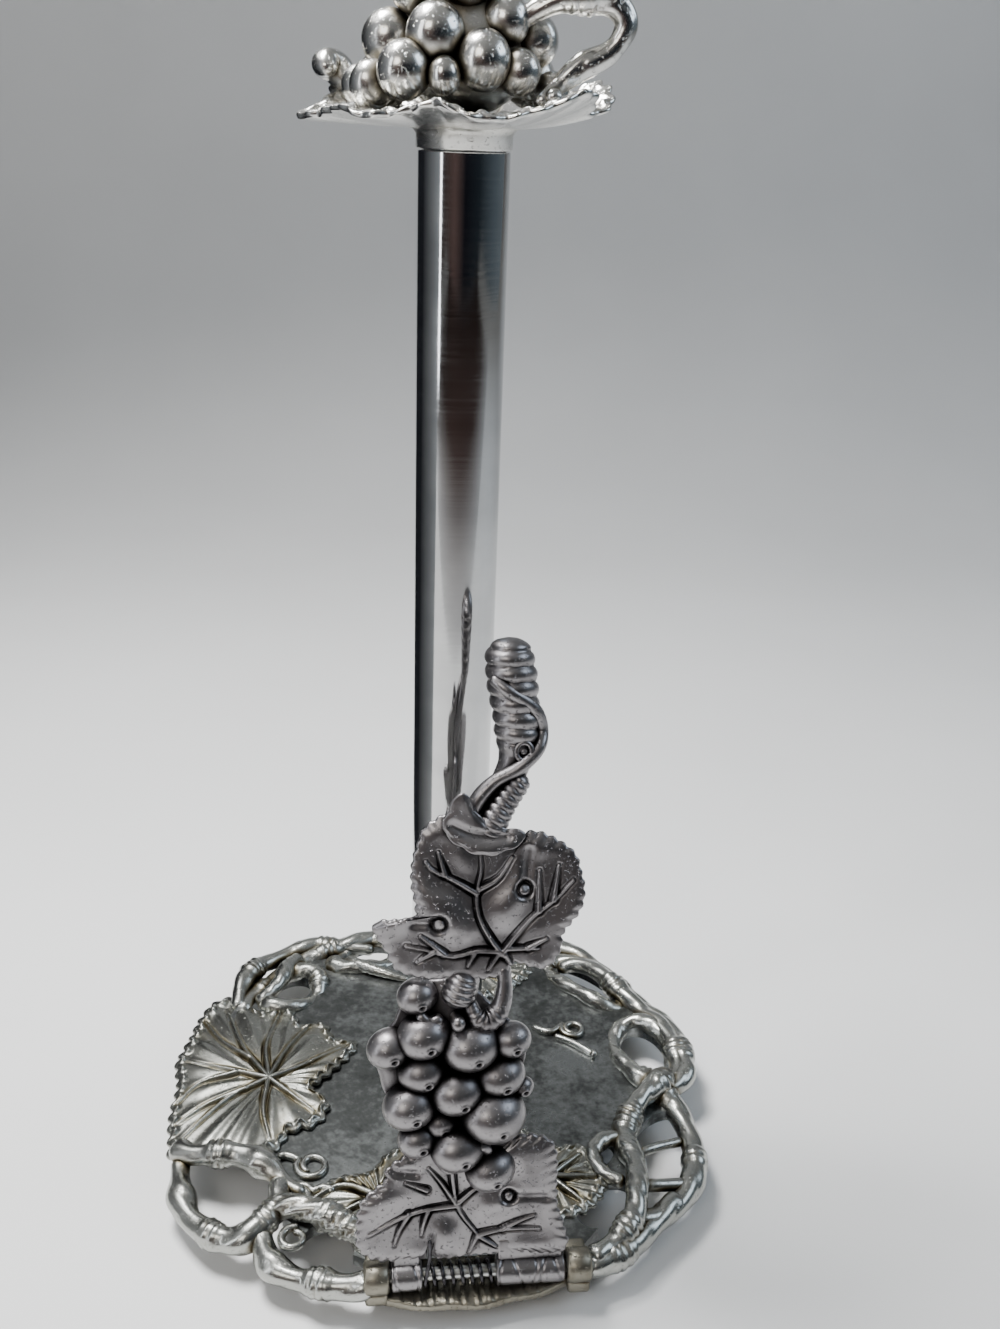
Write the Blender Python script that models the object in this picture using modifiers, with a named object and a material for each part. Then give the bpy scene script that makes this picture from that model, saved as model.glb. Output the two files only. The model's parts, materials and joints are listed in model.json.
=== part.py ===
"""Paper towel holder: a cast base with a vine rim, a round tube for the roll, a screw-on finial
and a sprung arm hinged at the front. Metres, +Z up. The table is at z = 0, the tube stands on the
Z axis and the arm is at -Y."""

import math

import bmesh
import bpy
from mathutils import Matrix, Vector

MM = 0.001

# Clearances
GAP = 0.3 * MM  # between pieces that touch or rest on each other

# Base casting
BASE_RADIUS = 97.5 * MM
PLATE_TOP = 14.0 * MM
PLATE_THICKNESS = 4.0 * MM
VINE_RADIUS = 3.7 * MM
FOOT_RADIUS = 7.0 * MM
FOOT_TAPER = 1.0 * MM  # narrower at the table than at the plate
FOOT_INSET = 31.5 * MM  # from the base's edge to a foot's axis
TUBE_RECESS = 1.0 * MM

# Tube, its plugs and the screw from beneath
TUBE_RADIUS = 12.7 * MM
TUBE_WALL = 1.2 * MM
TUBE_LENGTH = 322.4 * MM
PLUG_LENGTH = 20.0 * MM
SCREW_RADIUS = 3.0 * MM
SCREW_GRIP = 14.0 * MM  # length of thread inside the lower plug
SCREW_HEAD_RADIUS = 6.0 * MM
SCREW_HEAD_HEIGHT = 2.6 * MM
WASHER_RADIUS = 8.0 * MM
WASHER_THICKNESS = 1.0 * MM
SPRING_WASHER_RADIUS = 5.4 * MM
SPRING_WASHER_THICKNESS = 1.4 * MM

# Finial
NECK_HEIGHT = 6.0 * MM
CUP_RADIUS = 42.0 * MM
CUP_THICKNESS = 2.6 * MM
PILE_HEIGHT = 60.0 * MM
LOOP_VINE_RADIUS = 2.9 * MM
STUD_LENGTH = 30.0 * MM

# Arm, its hinge and its spring
ARM_LENGTH = 199.0 * MM
ARM_TIP_RADIUS = 28.3 * MM  # from the tube's axis to the arm's tip at rest
HINGE_INSET = 11.0 * MM  # from the base's edge to the pin
HINGE_RISE = 0.5 * MM  # of the pin above the plate
KNUCKLE_RADIUS = 4.5 * MM
PIN_RADIUS = 2.0 * MM
LEFT_KNUCKLE = (-22.5 * MM, -13.0 * MM)
RIGHT_KNUCKLE = (10.0 * MM, 31.5 * MM)
LUG_WIDTH = 8.0 * MM
LEAF_THICKNESS = 3.2 * MM
STEM_RADIUS = 6.2 * MM
SPRING_WIRE_RADIUS = 0.6 * MM
SPRING_RADIUS = PIN_RADIUS + SPRING_WIRE_RADIUS + 0.7 * MM  # to the middle of the wire
SPRING_TURNS = 7

# Worked out from the sizes above
PLATE_BOTTOM = PLATE_TOP - PLATE_THICKNESS
VINE_RING = BASE_RADIUS - 1.4 * VINE_RADIUS
TUBE_BOTTOM = PLATE_TOP - TUBE_RECESS + GAP
TUBE_TOP = TUBE_BOTTOM + TUBE_LENGTH
FINIAL_BOTTOM = TUBE_TOP + GAP
CUP_LEVEL = FINIAL_BOTTOM + NECK_HEIGHT
HINGE = Vector((0, -(BASE_RADIUS - HINGE_INSET), PLATE_TOP + HINGE_RISE))
ARM_LEAN = math.asin((-HINGE.y - ARM_TIP_RADIUS) / ARM_LENGTH)
LUG_RADIUS = KNUCKLE_RADIUS + 0.7 * MM
LIP_TOP = HINGE.z - KNUCKLE_RADIUS - 0.5 * MM
LIP_BOTTOM = PLATE_BOTTOM - 4.0 * MM
LIP_RADIUS = BASE_RADIUS - 3.5 * MM
HINGE_NOTCH_Y = HINGE.y + KNUCKLE_RADIUS + 1.5 * MM
FOOT_ANGLES = (45, 135, 225, 302)
FOOT_CIRCLE = BASE_RADIUS - FOOT_INSET

# Openings in the vine rim: the angle round the base, the inset of the opening's middle from the
# vine ring, and its half sizes along the radius and across it
RIM_LOOPS = (
    (7, 14.0 * MM, 8.5 * MM, 13.0 * MM),
    (40, 11.0 * MM, 5.5 * MM, 15.0 * MM),
    (78, 12.0 * MM, 6.0 * MM, 12.0 * MM),
    (110, 11.0 * MM, 6.0 * MM, 11.0 * MM),
    (137, 12.0 * MM, 7.0 * MM, 9.0 * MM),
    (217, 10.5 * MM, 7.5 * MM, 12.0 * MM),
    (240, 11.0 * MM, 5.0 * MM, 8.5 * MM),
    (306, 10.5 * MM, 5.0 * MM, 8.5 * MM),
    (321, 27.0 * MM, 5.0 * MM, 8.0 * MM),
    (332, 11.0 * MM, 7.5 * MM, 15.0 * MM),
)

# Leaves in relief on the base: angle, distance in from the base's edge, radius, turn of the leaf
BASE_LEAVES = (
    (179, 31.0 * MM, 31.0 * MM, 150),
    (235, 38.0 * MM, 17.0 * MM, 60),
    (308, 36.0 * MM, 19.0 * MM, 120),
)

# Grapes on the arm: across, up from the hinge and radius
ARM_GRAPES = (
    (-14, 91, 5.6),
    (-12, 79, 7.4),
    (-22.5, 75, 6.2),
    (2, 75, 8.0),
    (14.5, 76, 5.6),
    (-12.5, 67, 6.8),
    (-2, 61, 7.6),
    (11, 65, 7.0),
    (-16.5, 57, 7.4),
    (-7, 51, 5.0),
    (9, 53, 9.0),
    (-14, 46, 5.8),
    (-2, 43, 7.6),
    (8, 35, 7.0),
)

# Grapes on the finial: across, away from the arm, up from the cup and radius
FINIAL_GRAPES = (
    (-9, -14, 21, 7.2),
    (-17, -17, 12.5, 6.6),
    (3, -17, 15.5, 6.8),
    (-25, -10, 9, 5.5),
    (12.5, -15, 13, 5.2),
    (9, -10, 25, 6.0),
    (-20, 0, 20, 7.0),
    (-21, 12, 11, 7.0),
    (-8, 18, 12, 7.2),
    (7, 17, 13, 7.0),
    (18, 8, 12, 6.8),
    (17, -3, 21, 6.5),
    (-10, 10, 24, 7.4),
    (6, 9, 27, 7.4),
    (-13, -4, 33, 7.0),
    (-1, -9, 35, 7.2),
    (9, 0, 38, 7.0),
    (-3, 6, 41, 7.0),
)


def clear_scene():
    """Remove whatever the file opened with."""
    for obj in list(bpy.data.objects):
        bpy.data.objects.remove(obj, do_unlink=True)


def make_material(name, colour, roughness, metallic=1.0):
    """A Principled material with a plain finish."""
    material = bpy.data.materials.new(name)
    material.use_nodes = True
    shader = material.node_tree.nodes["Principled BSDF"]
    shader.inputs["Base Color"].default_value = (*colour, 1.0)
    shader.inputs["Roughness"].default_value = roughness
    shader.inputs["Metallic"].default_value = metallic
    material.diffuse_color = (*colour, 1.0)
    return material


def polar(radius, degrees, z=0.0):
    """A point at a radius and an angle round the Z axis."""
    angle = math.radians(degrees)
    return Vector((radius * math.cos(angle), radius * math.sin(angle), z))


def box(low, high):
    """A box from its two corners."""
    bm = bmesh.new()
    low, high = Vector(low), Vector(high)
    size = high - low
    place = Matrix.Translation((low + high) / 2) @ Matrix.Diagonal((*size, 1.0))
    bmesh.ops.create_cube(bm, size=1.0, matrix=place)
    return bm


def cylinder(radius, start, end, sides=32, width_scale=(1.0, 1.0)):
    """A cylinder between two points, optionally squashed across its axis."""
    bm = bmesh.new()
    start, end = Vector(start), Vector(end)
    turn = (end - start).to_track_quat("Z", "X").to_matrix().to_4x4()
    place = Matrix.Translation((start + end) / 2) @ turn @ Matrix.Diagonal((*width_scale, 1.0, 1.0))
    bmesh.ops.create_cone(
        bm, cap_ends=True, segments=sides, radius1=radius, radius2=radius,
        depth=(end - start).length, matrix=place)
    return bm


def ball(centre, radius):
    """A low sphere, enough for a grape."""
    bm = bmesh.new()
    place = Matrix.Translation(centre) @ Matrix.Rotation(math.radians(20), 4, "X")
    bmesh.ops.create_uvsphere(bm, u_segments=10, v_segments=6, radius=radius, matrix=place)
    return bm


def curve_solid(curve):
    """The closed mesh of a curve, as a bmesh."""
    holder = bpy.data.objects.new("shape", curve)
    bpy.context.scene.collection.objects.link(holder)
    depsgraph = bpy.context.evaluated_depsgraph_get()
    mesh = bpy.data.meshes.new_from_object(holder.evaluated_get(depsgraph))
    bm = bmesh.new()
    bm.from_mesh(mesh)
    bmesh.ops.remove_doubles(bm, verts=bm.verts, dist=1e-6)
    bmesh.ops.recalc_face_normals(bm, faces=bm.faces)
    bpy.data.objects.remove(holder, do_unlink=True)
    bpy.data.curves.remove(curve)
    bpy.data.meshes.remove(mesh)
    return bm


def wire_curve(name, points, radius, closed=False, sizes=None, sides=8):
    """A round wire or vine through the points; sizes scales its thickness at each of them."""
    curve = bpy.data.curves.new(name, "CURVE")
    curve.dimensions = "3D"
    curve.bevel_depth = radius
    curve.bevel_resolution = (sides - 4) // 2
    curve.use_fill_caps = True
    spline = curve.splines.new("POLY")
    spline.points.add(len(points) - 1)
    spline.use_cyclic_u = closed
    for index, point in enumerate(points):
        spline.points[index].co = (*point, 1.0)
        if sizes:
            spline.points[index].radius = sizes[index]
    return curve


def vine(points, radius, closed=False, sizes=None, sides=8):
    """A vine as a solid."""
    return curve_solid(wire_curve("vine", points, radius, closed, sizes, sides))


def slab(outline, bottom, top):
    """A flat plate from an outline in XY."""
    curve = bpy.data.curves.new("outline", "CURVE")
    curve.dimensions = "2D"
    curve.fill_mode = "BOTH"
    curve.extrude = (top - bottom) / 2
    spline = curve.splines.new("POLY")
    spline.points.add(len(outline) - 1)
    spline.use_cyclic_u = True
    for index, (x, y) in enumerate(outline):
        spline.points[index].co = (x, y, 0.0, 1.0)
    bm = curve_solid(curve)
    bmesh.ops.translate(bm, verts=bm.verts, vec=(0, 0, (top + bottom) / 2))
    return bm


def leaf_outline(width, height, turn=0.0, lobes=5, points=50):
    """A lobed leaf with small teeth, about its own middle."""
    outline = []
    for index in range(points):
        angle = 2 * math.pi * index / points
        lobe = math.cos(lobes * (angle - math.radians(turn)))
        tooth = math.cos(3 * lobes * (angle - math.radians(turn)))
        reach = 0.86 + 0.10 * lobe + 0.04 * tooth
        outline.append((width * reach * math.cos(angle), height * reach * math.sin(angle)))
    return outline


def smooth_path(points, steps=6):
    """Points along a Catmull-Rom curve through the given points."""
    points = [Vector(point) for point in points]
    padded = [2 * points[0] - points[1], *points, 2 * points[-1] - points[-2]]
    path = []
    for a, b, c, d in zip(padded, padded[1:], padded[2:], padded[3:]):
        for step in range(steps):
            t = step / steps
            path.append(0.5 * (2 * b + (c - a) * t + (2 * a - 5 * b + 4 * c - d) * t ** 2
                               + (3 * b - a - 3 * c + d) * t ** 3))
    path.append(points[-1])
    return path


def joined(name, solids, move=None):
    """One mesh that holds several solids."""
    whole = bmesh.new()
    for solid in solids:
        piece = bpy.data.meshes.new("piece")
        bmesh.ops.recalc_face_normals(solid, faces=solid.faces)
        solid.to_mesh(piece)
        solid.free()
        whole.from_mesh(piece)
        bpy.data.meshes.remove(piece)
    if move:
        bmesh.ops.transform(whole, matrix=move, verts=whole.verts)
    mesh = bpy.data.meshes.new(name)
    whole.to_mesh(mesh)
    whole.free()
    return mesh


def add_piece(name, data, material, parent=None, smooth=False):
    """Link a finished object under its node name."""
    obj = bpy.data.objects.new(name, data)
    bpy.context.scene.collection.objects.link(obj)
    data.materials.append(material)
    if parent:
        obj.parent = parent
    if smooth:
        for polygon in data.polygons:
            polygon.use_smooth = True
    return obj


def add_tool(name, mesh, parent=None):
    """Link a solid that only serves a Boolean, hidden from renders."""
    tool = bpy.data.objects.new(name, mesh)
    tools = bpy.data.collections.get("boolean_tools")
    if tools is None:
        tools = bpy.data.collections.new("boolean_tools")
        bpy.context.scene.collection.children.link(tools)
    tools.objects.link(tool)
    tool.hide_render = True
    tool.display_type = "WIRE"
    if parent:
        tool.parent = parent
    return tool


def combine(obj, tool, operation):
    """Join a tool to an object, or cut it out."""
    modifier = obj.modifiers.new(operation.lower() + "_" + tool.name, "BOOLEAN")
    modifier.operation = operation
    modifier.solver = "EXACT"
    modifier.use_self = True
    modifier.object = tool


def turned(name, profile, material, steps=48, parent=None):
    """A turned piece: a profile of (radius, z) swept round the Z axis."""
    mesh = bpy.data.meshes.new(name)
    edges = [(index, index + 1) for index in range(len(profile) - 1)]
    mesh.from_pydata([(radius, 0, z) for radius, z in profile], edges, [])
    obj = add_piece(name, mesh, material, parent)
    screw = obj.modifiers.new("turn", "SCREW")
    screw.angle = 2 * math.pi
    screw.steps = steps
    screw.render_steps = steps
    screw.use_merge_vertices = True
    screw.merge_threshold = 1e-5
    screw.use_smooth_shade = False
    return obj


def ring_profile(inner, outer, bottom, top):
    """The closed section of a washer or tube, down its outer side first."""
    return ((inner, top), (outer, top), (outer, bottom), (inner, bottom), (inner, top))


def build_base(material):
    """The base: a plate with a vine round its rim, leaves in relief and hinge lugs."""
    scallops = 15
    outline = []
    for index in range(90):
        angle = 2 * math.pi * index / 90
        reach = VINE_RING + 0.8 * MM * math.cos(scallops * angle)
        outline.append((reach * math.cos(angle), reach * math.sin(angle)))
    base = add_piece("base_casting", joined("base_casting", [slab(outline, PLATE_BOTTOM, PLATE_TOP)]),
                     material)

    # The openings in the rim, and the notch that the hinge sits in
    holes = []
    for degrees, inset, half_radial, half_across in RIM_LOOPS:
        middle = polar(VINE_RING - inset, degrees)
        hole = cylinder(1.0, (0, 0, PLATE_BOTTOM - 5 * MM), (0, 0, PLATE_TOP + 5 * MM), 20)
        size = Matrix.Diagonal((half_radial, half_across, 1.0, 1.0))
        turn = Matrix.Rotation(math.radians(degrees), 4, "Z")
        bmesh.ops.transform(hole, matrix=Matrix.Translation(middle) @ turn @ size, verts=hole.verts)
        holes.append(hole)
    opening_tool = add_tool("rim_openings", joined("rim_openings", holes))
    combine(base, opening_tool, "DIFFERENCE")
    notch = box((LEFT_KNUCKLE[0] - GAP * 2, -BASE_RADIUS * 1.1, PLATE_BOTTOM - 5 * MM),
                (RIGHT_KNUCKLE[1] + GAP * 2, HINGE_NOTCH_Y, PLATE_TOP + 5 * MM))
    combine(base, add_tool("hinge_notch", joined("hinge_notch", [notch])), "DIFFERENCE")

    # What stands on the plate, and the lip that runs under the hinge
    left_lug = (LEFT_KNUCKLE[0] - GAP * 2 - LUG_WIDTH, LEFT_KNUCKLE[0] - GAP * 2)
    right_lug = (RIGHT_KNUCKLE[1] + GAP * 2, RIGHT_KNUCKLE[1] + GAP * 2 + LUG_WIDTH)
    relief = []
    vine_level = PLATE_TOP - 0.9 * MM
    start = -math.degrees(math.acos((sum(right_lug) / 2) / VINE_RING))
    finish = math.degrees(math.acos((sum(left_lug) / 2) / VINE_RING)) * -1 + 360
    rim = []
    for index in range(61):
        degrees = start + (finish - start) * index / 60
        wander = math.sin(math.radians(9 * degrees))
        lift = math.cos(math.radians(7 * degrees))
        rim.append(polar(VINE_RING + 1.0 * MM * wander, degrees, vine_level + 0.7 * MM * lift))
    relief.append(vine(rim, VINE_RADIUS))
    for degrees, inset, half_radial, half_across in RIM_LOOPS:
        middle = polar(VINE_RING - inset, degrees)
        turn = Matrix.Rotation(math.radians(degrees), 4, "Z")
        loop = []
        for step in range(14):
            angle = 2 * math.pi * step / 14
            point = Vector(((half_radial + 1.6 * MM) * math.cos(angle),
                            (half_across + 1.6 * MM) * math.sin(angle), 0))
            loop.append(middle + turn @ point
                        + Vector((0, 0, vine_level + 1.1 * MM * math.sin(2 * angle))))
        relief.append(vine(loop, VINE_RADIUS * 0.85, closed=True, sides=6))
    for degrees, inset, radius, turn in BASE_LEAVES:
        leaf = slab(leaf_outline(radius, radius, turn), PLATE_TOP - 1.5 * MM, PLATE_TOP + 1.9 * MM)
        bmesh.ops.translate(leaf, verts=leaf.verts, vec=polar(BASE_RADIUS - inset, degrees))
        relief.append(leaf)
    for low, high in (left_lug, right_lug):
        relief.append(cylinder(LUG_RADIUS, (low, HINGE.y, HINGE.z), (high, HINGE.y, HINGE.z), 28))
        relief.append(box((low + 0.4 * MM, HINGE.y - LUG_RADIUS + 0.7 * MM, LIP_BOTTOM + 0.5 * MM),
                          (high - 0.4 * MM, HINGE_NOTCH_Y + 4 * MM, PLATE_TOP - 0.6 * MM)))
    lip = []
    for step in range(13):
        x = left_lug[0] + (right_lug[1] - left_lug[0]) * step / 12
        lip.append((x, -math.sqrt(LIP_RADIUS ** 2 - x ** 2)))
    lip += [(right_lug[1], HINGE.y + 3.2 * MM), (left_lug[0], HINGE.y + 3.2 * MM)]
    relief.append(slab(lip, LIP_BOTTOM, LIP_TOP))
    relief_tool = add_tool("rim_and_relief", joined("rim_and_relief", relief))
    combine(base, relief_tool, "UNION")

    # The bores: the screw's hole, the tube's seat and the pin's bore through both lugs
    bores = [
        cylinder(SCREW_RADIUS + GAP, (0, 0, PLATE_BOTTOM - 5 * MM), (0, 0, PLATE_TOP - TUBE_RECESS + GAP), 32),
        cylinder(TUBE_RADIUS + GAP, (0, 0, PLATE_TOP - TUBE_RECESS), (0, 0, PLATE_TOP + 6 * MM), 48),
        cylinder(PIN_RADIUS + GAP, (left_lug[0] - 5 * MM, HINGE.y, HINGE.z),
                 (right_lug[1] + 5 * MM, HINGE.y, HINGE.z), 24),
    ]
    combine(base, add_tool("base_bores", joined("base_bores", bores)), "DIFFERENCE")
    return base


def build_feet(material):
    """Four soft feet stuck under the plate."""
    height = PLATE_BOTTOM - GAP
    for number, degrees in enumerate(FOOT_ANGLES, start=1):
        middle = polar(FOOT_CIRCLE, degrees, height / 2)
        foot = bmesh.new()
        bmesh.ops.create_cone(
            foot, cap_ends=True, segments=24, radius1=FOOT_RADIUS - FOOT_TAPER, radius2=FOOT_RADIUS,
            depth=height, matrix=Matrix.Translation(middle))
        add_piece(f"foot_{number}", joined(f"foot_{number}", [foot]), material)


def build_tube(material):
    """The tube that carries the roll."""
    turned("centre_tube", ring_profile(TUBE_RADIUS - TUBE_WALL, TUBE_RADIUS, TUBE_BOTTOM, TUBE_TOP),
           material, steps=64)


def build_plugs(material):
    """Tapped plugs pressed into the tube's two ends."""
    outer = TUBE_RADIUS - TUBE_WALL - GAP
    bore = SCREW_RADIUS + GAP
    turned("lower_plug", ring_profile(bore, outer, TUBE_BOTTOM, TUBE_BOTTOM + PLUG_LENGTH), material)
    turned("upper_plug", ring_profile(bore, outer, TUBE_TOP - PLUG_LENGTH, TUBE_TOP), material)


def build_screw_stack(screw_material, washer_material):
    """The screw from beneath that pulls the tube down, with its two washers."""
    washer_top = PLATE_BOTTOM - GAP
    spring_top = washer_top - WASHER_THICKNESS - GAP
    head_top = spring_top - SPRING_WASHER_THICKNESS - GAP
    head_bottom = head_top - SCREW_HEAD_HEIGHT
    tip = TUBE_BOTTOM + SCREW_GRIP
    bore = SCREW_RADIUS + GAP
    turned("plain_washer",
           ring_profile(bore, WASHER_RADIUS, washer_top - WASHER_THICKNESS, washer_top), washer_material)
    turned("spring_washer",
           ring_profile(bore, SPRING_WASHER_RADIUS, spring_top - SPRING_WASHER_THICKNESS, spring_top),
           washer_material)
    shank = cylinder(SCREW_RADIUS, (0, 0, head_top - 0.5 * MM), (0, 0, tip), 32)
    screw = add_piece("tie_screw", joined("tie_screw", [shank]), screw_material)
    head = cylinder(SCREW_HEAD_RADIUS, (0, 0, head_bottom), (0, 0, head_top), 6)
    combine(screw, add_tool("screw_head", joined("screw_head", [head])), "UNION")


def build_finial(casting_material, stud_material, parent):
    """The finial: a leaf cup on a neck, a pile of grapes and a vine loop, on a threaded stud."""
    axis = Vector((0, 0, CUP_LEVEL))
    cup = bmesh.new()
    bmesh.ops.create_circle(cup, cap_ends=True, cap_tris=True, radius=1.0, segments=45)
    for vert in cup.verts:
        angle = math.atan2(vert.co.y, vert.co.x)
        reach = vert.co.length
        lobe = math.cos(5 * angle + 0.6)
        radius = CUP_RADIUS * (0.88 + 0.09 * lobe + 0.03 * math.cos(15 * angle)) * reach
        rise = (4.5 - 3.0 * lobe + 1.5 * math.sin(2 * angle)) * MM * reach
        vert.co = Vector((radius * math.cos(angle), radius * math.sin(angle), CUP_LEVEL + 1 * MM + rise))
    finial = add_piece("finial_casting", joined("finial_casting", [cup]), casting_material, parent)
    shell = finial.modifiers.new("cup_thickness", "SOLIDIFY")
    shell.thickness = CUP_THICKNESS
    shell.offset = 1.0

    neck_radius = TUBE_RADIUS + 0.5 * MM
    pile_scale = PILE_HEIGHT / (60 * MM)
    solids = [
        cylinder(neck_radius, (0, 0, FINIAL_BOTTOM), (0, 0, CUP_LEVEL + 3.5 * MM), 48),
        cylinder(16 * MM, (0, 0, CUP_LEVEL + 1.5 * MM), (0, 0, CUP_LEVEL + 22 * MM * pile_scale), 20),
        cylinder(9 * MM, (0, 0, CUP_LEVEL + 12 * MM), (0, 0, CUP_LEVEL + 38 * MM * pile_scale), 16),
    ]
    for x, y, z, radius in FINIAL_GRAPES:
        solids.append(ball(axis + Vector((x, y, z * pile_scale)) * MM, radius * MM))
    crown = [(8, 3, 40), (2, 2, 49), (-4, 0, 52), (-10, -3, 49)]
    solids.append(vine([axis + Vector((x, y, z * pile_scale)) * MM for x, y, z in crown], LOOP_VINE_RADIUS))
    loop = [(8, -8, 20), (15, -11, 26.5), (24, -12, 30.5), (35, -12, 30.5), (40, -12, 25.5),
            (36.5, -12, 19), (29, -12, 15), (22, -12, 9.5), (18, -10, 3)]
    loop = smooth_path([axis + Vector(point) * MM for point in loop], 3)
    solids.append(vine(loop, LOOP_VINE_RADIUS))
    combine(finial, add_tool("finial_growth", joined("finial_growth", solids), parent), "UNION")

    stud_bottom = TUBE_TOP - PLUG_LENGTH + 3 * MM
    stud_top = stud_bottom + STUD_LENGTH
    hole = cylinder(SCREW_RADIUS + GAP, (0, 0, FINIAL_BOTTOM - 5 * MM), (0, 0, stud_top + GAP), 32)
    combine(finial, add_tool("stud_hole", joined("stud_hole", [hole]), parent), "DIFFERENCE")
    stud = cylinder(SCREW_RADIUS, (0, 0, stud_bottom), (0, 0, stud_top), 32)
    add_piece("finial_stud", joined("finial_stud", [stud]), stud_material, parent)


def on_arm(across, up, out=0.0):
    """A point on the arm in its own frame: across, up from the hinge, and out towards the front."""
    return Vector((across, -out, up))


def arm_leaf(across, up, half_width, half_height, turn, out=0.0):
    """A leaf that stands in the arm's plane."""
    leaf = slab(leaf_outline(half_width, half_height, turn), -LEAF_THICKNESS / 2, LEAF_THICKNESS / 2)
    stand = Matrix.Rotation(math.radians(90), 4, "X")
    bmesh.ops.transform(leaf, matrix=Matrix.Translation(on_arm(across, up, out)) @ stand, verts=leaf.verts)
    return leaf


def build_arm(material, parent):
    """The arm casting: knuckles, lower leaf, grapes, upper leaf and a stem, in one piece."""
    stretch = ARM_LENGTH / (199 * MM)
    lower_edge = KNUCKLE_RADIUS + 2.0 * MM
    lower_leaf = arm_leaf(-1.5 * MM, 24 * MM * stretch, 33 * MM, 20 * MM, 90)
    arm = add_piece("arm_casting", joined("arm_casting", [lower_leaf]), material, parent)

    # Trim the leaf above the hinge, leaving the slot that the spring sits in
    trim = box((-60 * MM, -9 * MM, -20 * MM), (60 * MM, 9 * MM, lower_edge))
    combine(arm, add_tool("leaf_trim", joined("leaf_trim", [trim]), parent), "DIFFERENCE")

    stem = [(-2, 14), (-3, 40), (-3, 70), (-1, 90), (3, 110), (5, 132), (6, 146), (12, 158), (17.5, 167),
            (15.5, 180), (13.8, 192.5)]
    stem = smooth_path([on_arm(x * MM, up * MM * stretch, 0.8 * MM) for x, up in stem], 2)
    taper = [0.62 + 0.38 * min(1.0, index / (0.7 * len(stem))) for index in range(len(stem))]
    growth = [
        vine(stem, STEM_RADIUS, sizes=taper),
        ball(stem[-1], STEM_RADIUS * 1.08),
        arm_leaf(5 * MM, 122 * MM * stretch, 30 * MM, 29 * MM, 95),
    ]
    fork = [(10, 104), (12, 94), (10, 86), (5, 82.5), (1, 86)]
    fork = smooth_path([on_arm(x * MM, up * MM * stretch) for x, up in fork], 3)
    growth.append(vine(fork, 2.4 * MM))
    for across, up, radius in ARM_GRAPES:
        growth.append(ball(on_arm(across * MM, up * MM * stretch, 2.5 * MM), radius * MM))
    for low, high in (LEFT_KNUCKLE, RIGHT_KNUCKLE):
        growth.append(cylinder(KNUCKLE_RADIUS, (low, 0, 0), (high, 0, 0), 28))
        growth.append(box((low + 0.3 * MM, -LEAF_THICKNESS * 0.42, 1 * MM),
                          (high - 0.3 * MM, LEAF_THICKNESS * 0.42, lower_edge + 4 * MM)))
        heel = box((low + 1 * MM, 0, PLATE_TOP + GAP - HINGE.z), (high - 1 * MM, 10 * MM, 2.7 * MM))
        bmesh.ops.transform(heel, matrix=Matrix.Rotation(ARM_LEAN, 4, "X"), verts=heel.verts)
        growth.append(heel)
    combine(arm, add_tool("arm_growth", joined("arm_growth", growth), parent), "UNION")

    # The pin's bore, and the notch in the leaf's lower edge for the spring's leg
    bores = [cylinder(PIN_RADIUS + GAP, (-60 * MM, 0, 0), (60 * MM, 0, 0), 24)]
    notch_middle = LEFT_KNUCKLE[1] + GAP + 2.0 * MM
    bores.append(box((notch_middle - 1.6 * MM, -8 * MM, 6 * MM), (notch_middle + 1.6 * MM, 8 * MM, 12 * MM)))
    combine(arm, add_tool("arm_bores", joined("arm_bores", bores), parent), "DIFFERENCE")
    return arm


def build_pin(material):
    """The pin through both lugs and both knuckles."""
    left = LEFT_KNUCKLE[0] - GAP * 2 - LUG_WIDTH - 0.8 * MM
    right = RIGHT_KNUCKLE[1] + GAP * 2 + LUG_WIDTH + 0.8 * MM
    pin = cylinder(PIN_RADIUS, (left - HINGE.x, 0, 0), (right - HINGE.x, 0, 0), 24)
    obj = add_piece("hinge_pin", joined("hinge_pin", [pin]), material)
    obj.location = HINGE
    bevel = obj.modifiers.new("chamfer", "BEVEL")
    bevel.width = 0.4 * MM
    bevel.segments = 1


def build_spring(material):
    """The torsion spring round the pin: one leg on the arm's front, one under the base plate."""
    left = LEFT_KNUCKLE[1] + GAP + SPRING_WIRE_RADIUS
    right = RIGHT_KNUCKLE[0] - GAP - SPRING_WIRE_RADIUS
    leaf_front = LEAF_THICKNESS / 2 + GAP + SPRING_WIRE_RADIUS
    lean = Matrix.Rotation(-ARM_LEAN, 4, "X")
    leg_x = LEFT_KNUCKLE[1] + GAP + 2.0 * MM
    path = [lean @ Vector((leg_x, -leaf_front, 13.5 * MM)), lean @ Vector((leg_x, -leaf_front, 7 * MM))]
    steps = 12
    sweep = 2 * math.pi * SPRING_TURNS + math.pi / 2
    count = int(steps * (SPRING_TURNS + 0.25))
    for index in range(count + 1):
        angle = -sweep * index / count
        x = left + (right - left) * index / count
        path.append(Vector((x, -SPRING_RADIUS * math.cos(angle), SPRING_RADIUS * math.sin(angle))))
    plate_edge = HINGE_NOTCH_Y - HINGE.y
    under = PLATE_BOTTOM - GAP - SPRING_WIRE_RADIUS - HINGE.z
    path += [
        Vector((right, plate_edge - 3.0 * MM, -SPRING_RADIUS + 0.2 * MM)),
        Vector((right, plate_edge - 1.4 * MM, -SPRING_RADIUS - 0.6 * MM)),
        Vector((right, plate_edge - 0.9 * MM, under)),
        Vector((right, plate_edge + 6.0 * MM, under)),
    ]
    curve = wire_curve("torsion_spring", path, SPRING_WIRE_RADIUS)
    spring = add_piece("torsion_spring", curve, material)
    spring.location = HINGE


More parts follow.
